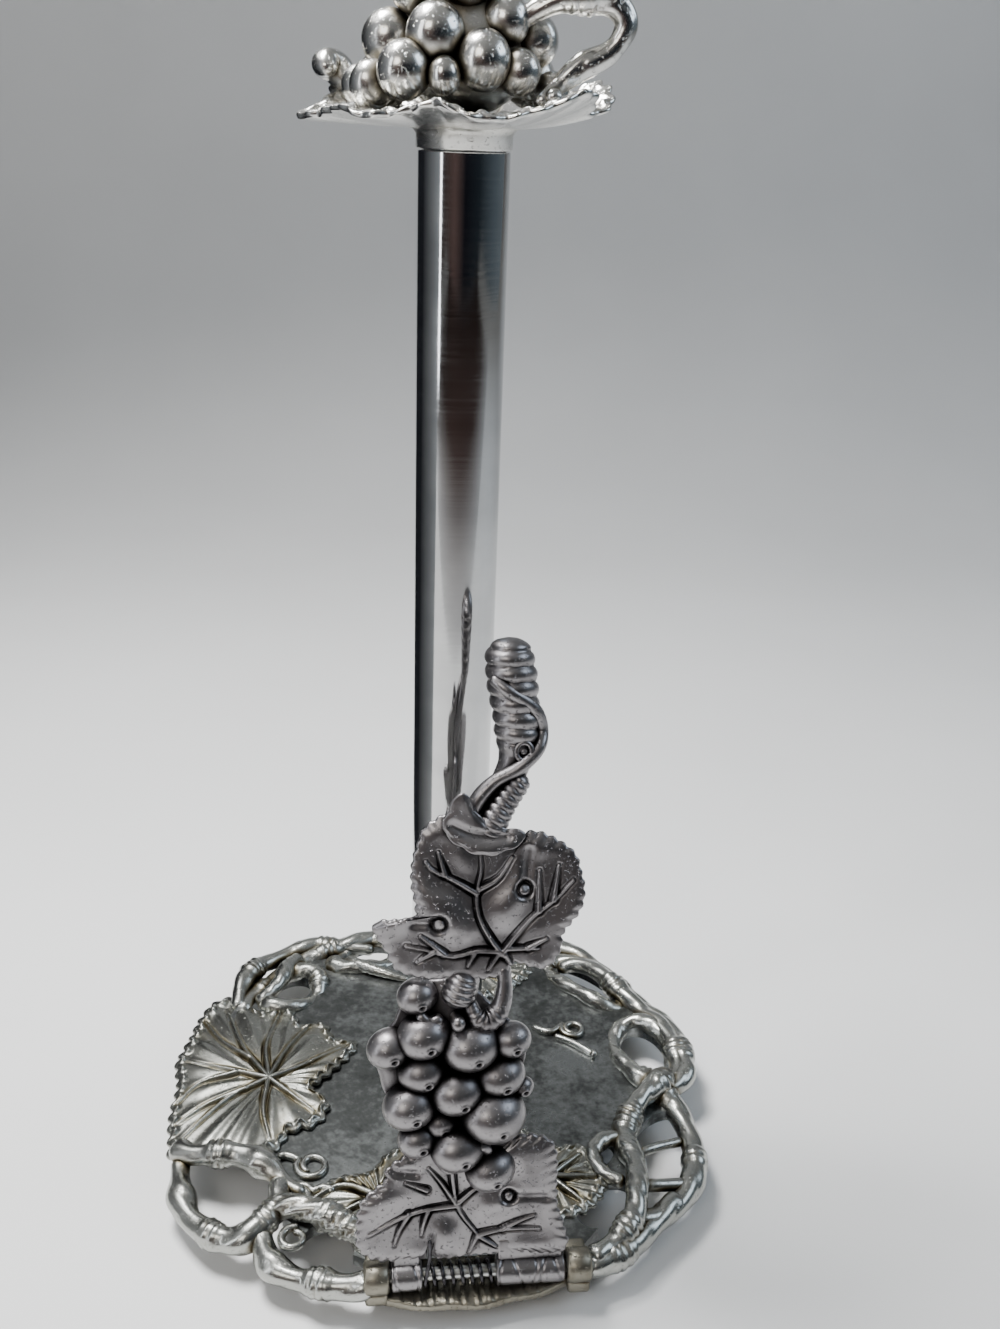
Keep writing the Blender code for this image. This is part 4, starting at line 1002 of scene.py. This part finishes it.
# Grapes on the cup: across, away from the arm, up from the cup and radius
FINIAL_GRAPES = (
    (-9, -14, 21, 7.2), (-17, -17, 12.5, 6.6), (3, -17, 15.5, 6.8), (-25, -10, 9, 5.5),
    (12.5, -15, 13, 5.2), (9, -10, 25, 6.0), (-20, 0, 20, 7.0), (-21, 12, 11, 7.0), (-8, 18, 12, 7.2),
    (7, 17, 13, 7.0), (18, 8, 12, 6.8), (17, -3, 21, 6.5), (-10, 10, 24, 7.4), (6, 9, 27, 7.4),
    (-13, -4, 33, 7.0), (-1, -9, 35, 7.2), (9, 0, 38, 7.0), (-3, 6, 41, 7.0), (-7, -20, 11.5, 4.2),
    (-28, 2, 9, 4.6), (22, -9, 9, 4.4))
bunch = [grape((x, y, CUP_LEVEL + up), 1.08 * radius, (x, y, 0.35 * (up - 16)), 0.94, 1.04)
         for x, y, up, radius in FINIAL_GRAPES]
bunch.append(vine([(0, 0, CUP_LEVEL + 2), (0, 0, CUP_LEVEL + 14), (-1, 0, CUP_LEVEL + 28),
                   (-2, 1, CUP_LEVEL + 40)], [15, 18, 16, 11, 6], strands=0, lumps=0.03, around=40))
finished("finial_grapes", joined(bunch), silver, *FINIAL_CASTING)

loop_route = [(8, -8, 20), (15, -11, 26.5), (24, -12, 30.5), (35, -12, 30.5), (40, -12, 25.5),
              (36.5, -12, 19), (29, -12, 15), (22, -13, 9.5), (17, -15, 5)]
crown_route = [(8, 3, 40), (3, 2, 49), (-4, 0, 52.5), (-10, -3, 48)]
loop_vines = [
    vine([(x, y, CUP_LEVEL + up) for x, y, up in loop_route], [3.2, 2.5, 3.4, 3.9, 3.6, 2.9, 3.6, 2.3, 3.0],
         strands=2, groove=0.16, pitch=46, lumps=0.05, wraps=[(0.33, 8, 0.7)], around=34, spacing=0.6),
    vine([(x, y, CUP_LEVEL + up) for x, y, up in crown_route], [2.6, 3.2, 2.8], wraps=[(0.5, 9, 1.1)]),
    grape((21.5, -15.5, CUP_LEVEL + 7.5), 2.5, (0.4, -1, 0.1)),
    vine([(-30, 14, CUP_LEVEL + 8), (-34, 17, CUP_LEVEL + 13), (-37, 14, CUP_LEVEL + 14),
          (-36, 9, CUP_LEVEL + 12)], [3.0, 4.4, 4.2, 2.0], strands=2, groove=0.1, lumps=0.03),
]
finished("finial_loop", joined(loop_vines), silver, *FINIAL_CASTING)


# ---- Arm: leaves ----------------------------------------------------------------------------
# The arm that presses on the roll is one casting in darker, pewter-grey aluminium, mottled with
# tarnish and with painted shade black in its hollows. A broad leaf rises from the hinge, and a second one
# is folded at its top.

ARM_LENGTH = 199.0
ARM_TIP_RADIUS = 28.3  # from the tube's axis to the arm's tip
ARM_LEAN = math.asin((-hinge.y - ARM_TIP_RADIUS) / ARM_LENGTH)
ARM_CASTING = ("arm", "dark_cast_aluminium", ["arm_casting"])
arm_place = Matrix.Translation(hinge * MM) @ Matrix.Rotation(-ARM_LEAN, 4, "X")

# Rubbed back: grey ribs and teeth, mottled with tarnish, and painted shade that blackens the hollows
pewter = cast_metal("pewter_cast_aluminium_with_painted_shade", "#8b8889", "#3e3b3c", "#060505", 0.33, tarnish=0.9,
                    shade_reach=2.4, pits=0.4)


def on_arm(x, up, out):
    """A place on the arm: across, up from the hinge along it, and out to the front."""
    turn = math.cos(ARM_LEAN), math.sin(ARM_LEAN)
    y = hinge.y - out * turn[0] + up * turn[1]
    z = hinge.z + out * turn[1] + up * turn[0]
    return np.column_stack(np.broadcast_arrays(x + hinge.x, y, z))


def stem(points, sizes, **finish):
    """A vine whose points are (across, up, out) on the arm."""
    places = [tuple(on_arm(np.array([x]), up, out)[0]) for x, up, out in points]
    return vine(places, sizes, **finish)


def lower_lay(x, up, height):
    """The lower leaf: nearly flat, its edges curling forward at the sides."""
    return on_arm(x, up, 1.2 + 1.6 * np.clip(np.abs(x) / 31, 0, 1.1) ** 3 + height)


def upper_lay(x, up, height):
    """The upper leaf: dished, with its right side lifted and its left tip bent back."""
    bend = 1.8 * np.clip((x - 8) / 26, 0, 1.1) ** 2 - 2.2 * np.clip((-8 - x) / 17, 0, 1.1) ** 2
    return on_arm(x, up, 6.0 + bend + 0.8 * np.sin((up - 98) / 14) + height)


lower_leaf = leaf(
    [(-22, 36), (-23.6, 31.4), (-30.5, 25.7), (-32.1, 17.1), (-31.4, 11.4), (-26.4, 7.3), (-19, 6.8),
     (-13, 6.6), (-11.6, 11.2), (-9.7, 11.2), (-8.4, 6.6), (4, 6.8), (18, 6.8), (30.5, 7.3),
     (30.3, 14.3), (28.2, 21), (27.9, 27), (27.1, 40.7), (19, 43.5), (10, 40), (2, 40), (-5, 43),
     (-12, 41)],
    (-6, 24),
    [[(-2, 23), (-6.4, 30), (-10.7, 35.7)], [(-2, 23), (-12.1, 22.1), (-19.3, 20), (-29.3, 15.7)],
     [(-17, 21), (-20, 16), (-21.6, 11.4)], [(-11, 22), (-12.4, 18), (-13, 14)],
     [(-11.4, 28.6), (-17.9, 31.4)], [(-1.5, 24), (4.3, 28.6), (12.1, 31.4)],
     [(-4, 38), (-2, 23), (4.3, 12.9)], [(4.3, 12.9), (12.1, 14.3), (23.6, 14.3)],
     [(12, 14.3), (17, 16.8), (22.1, 18.6)], [(4.3, 12.9), (10, 8.6)], [(4.3, 12.9), (1.4, 6.8)]],
    lower_lay, creases=[[(13.5, 25.2), (25.5, 24.5)], [(-15, 34), (-21, 35)]], eyes=[(14, 25.2, 2.3)],
    teeth=(3.2, 1.0), pillow=1.8, vein_width=0.74, rings=86, spokes=400)
finished("lower_leaf", lower_leaf, pewter, *ARM_CASTING)

upper_leaf = [
    leaf([(-1.1, 151), (-4.3, 147.1), (-10.7, 142.9), (-12.9, 137.9), (-14.4, 132.9), (-14.7, 126.4),
          (-13.6, 120), (-14, 115.8), (-18.5, 114.8), (-26, 113.4), (-22.5, 106.4), (-19.3, 100.7),
          (-10, 98.2), (-2, 98.6), (6, 97.6), (12.1, 99.2), (15, 102.5), (23.6, 100.4), (27.9, 105.7),
          (28.6, 110.7), (33.6, 117.9), (34.8, 124), (33.6, 130), (32.2, 134.2), (27.9, 137.8),
          (22.1, 140.4), (18, 140), (16, 137), (12, 141), (5, 146)],
         (5, 120),
         [[(12, 104), (8.6, 108), (4.3, 116.4), (3.6, 123.6), (5, 130.7), (4.7, 137)],
          [(3.6, 123.6), (-3.6, 127.9), (-9.3, 130.7), (-11.4, 133.4)], [(-5.7, 129.3), (-7.6, 136)],
          [(4.3, 124.7), (10, 127.9), (14.3, 134)],
          [(11, 104.5), (19.3, 115), (26.4, 120.7), (32.3, 127)], [(22.1, 117.6), (22.3, 130)],
          [(26.4, 121), (28, 131.5)],
          [(11.4, 105.2), (3.6, 105.7), (-3.6, 104.3), (-10.7, 106.4), (-17.4, 108)],
          [(-6, 105), (-13, 111)], [(-9, 106), (-14, 103)], [(10.5, 105.2), (7.1, 99.6)],
          [(3, 105.4), (1, 101)], [(12.1, 104.5), (14.3, 100.6)], [(13, 106.2), (22.1, 106)],
          [(19, 106.2), (24.5, 109)]],
         upper_lay, creases=[[(18, 125), (19.4, 136)], [(-8.4, 114.6), (-15, 114.9)]],
         eyes=[(17.9, 124.2, 2.6), (-7.6, 114.4, 2.7)], teeth=(3.3, 0.9), pillow=2.1, thickness=3.0,
         vein_width=0.8, rings=90, spokes=440),
    leaf([(-1.2, 154), (-4.6, 148), (-5.6, 143.5), (-2.6, 140), (2, 137.4), (7, 136.4), (13.6, 138.2),
          (17.4, 141), (12, 142.6), (7, 144), (3.4, 147), (1.2, 151)],
         (2.2, 142), [], lambda x, up, height: on_arm(
             x, up, 9.0 + 0.012 * (up - 142) ** 2 + 1.1 * np.clip((141 - up) / 4, 0, 1) + height),
         creases=[[(-3.6, 144.5), (3, 141.6), (12, 141)]], teeth=(6.5, 0.7), pillow=0.6, thickness=2.6,
         rings=40, spokes=200),
]
finished("upper_leaf", joined(upper_leaf), pewter, *ARM_CASTING)


# ---- Arm: grapes ----------------------------------------------------------------------------
# The bunch between the two leaves, cast with them. The grapes were buffed, so they are paler
# than the leaves, and each carries a small ringed mark low on its front.

# The same metal rubbed further: smooth grey skins. The black between them and their darker
# undersides are painted shade, laid by occlusion over 8 mm.
buffed = cast_metal("buffed_cast_aluminium", "#8c898a", "#312e2f", "#040303", 0.34, tarnish=0.3,
                    shade_reach=8.0, pits=0.14)

# Across, up from the hinge and radius
ARM_GRAPES = (
    (-14, 91, 5.6), (-12, 79, 7.4), (-22.5, 75, 6.2), (2, 75, 8.0), (14.5, 76, 5.6), (-12.5, 67.5, 6.8),
    (-2, 61, 7.6), (11, 65, 7.0), (18, 61, 3.2), (-16.5, 57, 7.4), (-7, 51, 5.0), (9, 53, 9.0),
    (-14, 46, 5.8), (-2, 43, 7.6), (8, 35, 7.0))
arm_bunch = []
for x, up, radius in ARM_GRAPES:
    out = 3.4 if radius > 7 else 2.4
    middle = on_arm(np.array([x]), up, out)[0]
    lean = on_arm(np.array([x + 0.25]), up - 0.38, out + 0.88)[0] - middle
    arm_bunch.append(grape(middle, radius, lean, 1.12, 0.98, dimple=1.0))
arm_bunch.append(leaf(
    [(-20, 82), (-12, 93), (0, 92), (12, 82), (18, 74), (16, 60), (16, 47), (8, 31), (-2, 36), (-16, 43),
     (-21, 56), (-25, 70)], (-3, 62), [], lambda x, up, height: on_arm(x, up, 0.6 + height),
    teeth=(9, 0.6), pillow=2.2, thickness=4.2, rings=24, spokes=120))
finished("arm_grapes", joined(arm_bunch), buffed, *ARM_CASTING)


# ---- Arm: stems and knuckles ----------------------------------------------------------------
# The twisted stem above the leaves, the ribbed fork below them, and the two knuckles that the
# hinge pin runs through. A heel on each knuckle rests over the plate and stops the arm.

stems = [
    stem([(-3, 30, -2.6), (-3, 45, -1.2), (-3, 70, -1.2), (0, 92, -0.5), (3, 110, 0.6), (5, 128, 1.2)],
         [2.6, 4.0, 4.4, 4.4, 4.2], strands=0),
    stem([(4, 130, 1.2), (7, 142, 1.6), (10, 149, 1.4), (13.4, 156, 1), (15.8, 163, 0.8), (16.3, 172, 0.8),
          (15.2, 182, 0.8), (13.8, 193.5, 0.8), (13.4, 198.8, 0.8)],
         [4.0, 4.4, 4.6, 4.8, 5.2, 5.6, 6.0, 6.4, 6.4], strands=0, lumps=0.03,
         wraps=[(0.77, 32, 1.5)], coil=4.6, around=44, spacing=0.5),
    stem([(1.5, 144, 4.4), (4, 151, 5.2), (9, 156.5, 5.4), (16, 160.5, 6.2), (22, 166, 5.2),
          (23.4, 171.5, 2.6), (20.6, 178, 4.8), (13, 183.5, 7.2), (8, 187.5, 5)],
         [2.6, 2.5, 2.1, 2.0, 2.0, 2.1, 2.0, 1.6], strands=0, lumps=0.03, around=24, spacing=0.5),
    stem([(6.5, 139, 4.8), (9, 145, 5.2), (12.6, 151, 5.0), (18, 158.5, 4.6)], [3.6, 3.4, 3.1, 2.6],
         strands=0, wraps=[(0.5, 22, 0.9)], coil=2.3, around=30, spacing=0.35),
    stem([(-3, 88, 3.6), (-1.4, 93, 4.0), (0.6, 99, 4.2)], [4.6, 4.0, 4.2], strands=0,
         wraps=[(0.5, 12, 0.8)], coil=1.9, around=30, spacing=0.3),
    stem([(11.6, 101, 4.0), (12.2, 94, 4.4), (11, 87.5, 4.6), (7.4, 83.6, 5.2), (3.4, 85, 5.2),
          (1.4, 90, 4.2)], [2.4, 2.2, 2.6, 3.0, 2.6, 2.0], strands=0, wraps=[(0.68, 10, 0.7)], coil=1.9,
         around=26, spacing=0.35),
    stem([(-2, 84.5, 2), (-2, 84.2, 6), (-2.2, 84, 10.4)], [2.5, 2.2, 2.3], strands=0, lumps=0.0),
    stem([(-6, 84.5, 5), (-11, 84, 5.4), (-14, 87, 5)], [2.4, 1.9, 1.6], strands=0),
    stem([(8, 41, 4), (4, 44, 6), (-4, 37.5, 5.6), (-8, 40, 5.5)], [1.7, 1.8, 1.5], strands=0, around=18),
]
# A berry in a ring of fine vine, near the arm's tip
BERRY_X = 17.6
BERRY_UP = 165.6
RING_POINTS = 10
ring = []
for step in range(RING_POINTS):
    angle = math.tau * step / RING_POINTS
    ring.append((BERRY_X + 2.3 * math.cos(angle), BERRY_UP + 2.7 * math.sin(angle), 6.6))
stems.append(stem(ring, [0.85, 0.85], strands=0, lumps=0.04, closed=True, around=14, spacing=0.4))
stems.append(grape(on_arm(np.array([BERRY_X]), BERRY_UP, 5.4)[0], 1.7, (0, -1, 0)))

KNUCKLES = ((-22.5, -13.0), (10.0, 31.5))  # where each knuckle starts and ends
KNUCKLE_RADIUS = 4.5


def knuckle(low, high):
    """A bored knuckle with curved lines engraved across it, as the leaf's edge laps round it."""
    def barrel(u, v):
        angle = u * math.tau
        x = np.interp(v, [0, 0.06, 0.1, 0.9, 0.94, 1], [low, low, low + 0.5, high - 0.5, high, high])
        reach = np.interp(v, [0, 0.06, 0.1, 0.9, 0.94, 1],
                          [PIN_BORE, KNUCKLE_RADIUS - 0.5, KNUCKLE_RADIUS, KNUCKLE_RADIUS,
                           KNUCKLE_RADIUS - 0.5, PIN_BORE])
        x = np.where(v > 0.999, low, x)
        for line in np.arange(low + 2.4, high - 1, 4.3):
            sweep = x - line - 1.6 * np.sin(angle + line)
            reach = reach - 0.32 * np.exp(-(sweep / 0.38) ** 2) * (v > 0.1) * (v < 0.9)
        return np.column_stack([x + hinge.x, hinge.y + reach * np.sin(angle),
                                hinge.z + reach * np.cos(angle)])
    return moulded(round((high - low) * 5), 60, barrel)


for low, high in KNUCKLES:
    stems.append(knuckle(low, high))
    web = brick((low + 0.5, -1.6, PIN_BORE + 0.5), (high - 0.5, 1.3, 11), 0.8)
    bmesh.ops.transform(web, matrix=arm_place, verts=web.verts)
    heel = brick((low + 1, hinge.y + PIN_BORE + 0.4, hinge.z + 0.7),
                 (high - 1, hinge.y + 10, hinge.z + 3.2), 0.7)
    stems += [web, heel]
finished("arm_stems", joined(stems), pewter, *ARM_CASTING)


# ---- Hinge pin ------------------------------------------------------------------------------
# Zinc-plated wire pin through both lugs and both knuckles, its ends lightly peened over so
# that it stays in. The spring is wound round it between the knuckles.

pin_low, pin_high = corners("hinge_pin")
pin_radius = (pin_high.z - pin_low.z) / 2
pin_profile = [(0, pin_high.x), (pin_radius - 0.9, pin_high.x - 0.1), (pin_radius - 0.3, pin_high.x - 0.4),
               (pin_radius, pin_high.x - 0.9), (pin_radius, pin_low.x + 0.9),
               (pin_radius - 0.3, pin_low.x + 0.4), (pin_radius - 0.9, pin_low.x + 0.1), (0, pin_low.x)]
finished("peened_pin", turned(pin_profile, 40, along_x(0, hinge.y, hinge.z)), zinc, "stand",
         "zinc_plated_steel", ["hinge_pin"], sharp=50)


# ---- Torsion spring -------------------------------------------------------------------------
# Hard-drawn spring wire wound on the pin between the knuckles. One leg hooks under the plate,
# and the other lies in the notch of the arm's leaf and pushes the arm towards the roll.

WIRE_RADIUS = 0.6
COIL_RADIUS = 3.3
COIL_TURNS = 7.25
COIL_GAP = 0.3  # to the knuckles, and to the plate from beneath
COIL_START = KNUCKLES[0][1] + COIL_GAP + WIRE_RADIUS
COIL_END = KNUCKLES[1][0] - COIL_GAP - WIRE_RADIUS
LEG_X = KNUCKLES[0][1] + 2.3

# Hard-drawn wire left oiled: dark, with a brown film and the lines of the die
spring_wire, tree, shader, place = fresh_material("oiled_spring_wire", 1.0)
oil = node(tree, "TexNoise", {"Scale": 1 / (2 * MM), "Detail": 4.0}, {"Vector": place}).outputs["Fac"]
colour = ramp(tree, oil, [(0.35, "#2e2d2f"), (0.6, "#4b4a4d"), (0.75, "#5f564b")])
film = node(tree, "MapRange", {"To Min": 0.18, "To Max": 0.4}, {"Value": oil})
die_marks = node(tree, "Bump", {"Strength": 0.3, "Distance": 0.02 * MM}, {"Height": oil})
dress(tree, shader, colour, film, die_marks)

coil = []
steps = round(POINTS_A_TURN * COIL_TURNS)
for step in range(steps + 1):
    angle = math.tau * COIL_TURNS * step / steps
    x = COIL_START + (COIL_END - COIL_START) * step / steps
    coil.append((x, hinge.y - COIL_RADIUS * math.cos(angle), hinge.z - COIL_RADIUS * math.sin(angle)))
under = PLATE_BOTTOM - COIL_GAP - WIRE_RADIUS
coil += [(COIL_END, hinge.y + 3.0, hinge.z - COIL_RADIUS), (COIL_END, hinge.y + 4.6, hinge.z - 3.9),
         (COIL_END, hinge.y + 5.2, under + 0.2), (COIL_END, hinge.y + 12, under)]
finished("spring_coil", vine(coil, [WIRE_RADIUS, WIRE_RADIUS], strands=0, lumps=0, around=14, spacing=0.35),
         spring_wire, "stand", "spring_steel", ["torsion_spring"])

leg = [(LEG_X, 13.5, 3.9), (LEG_X, 8, 3.4), (LEG_X - 0.6, 4, 3.4)]
for step in range(5):
    angle = math.pi / 2 * step / 4
    leg.append((COIL_START + 0.05, -COIL_RADIUS * math.sin(angle), COIL_RADIUS * math.cos(angle)))
finished("spring_leg", stem(leg, [WIRE_RADIUS, WIRE_RADIUS], strands=0, lumps=0, around=14, spacing=0.3),
         spring_wire, "arm", "spring_steel")
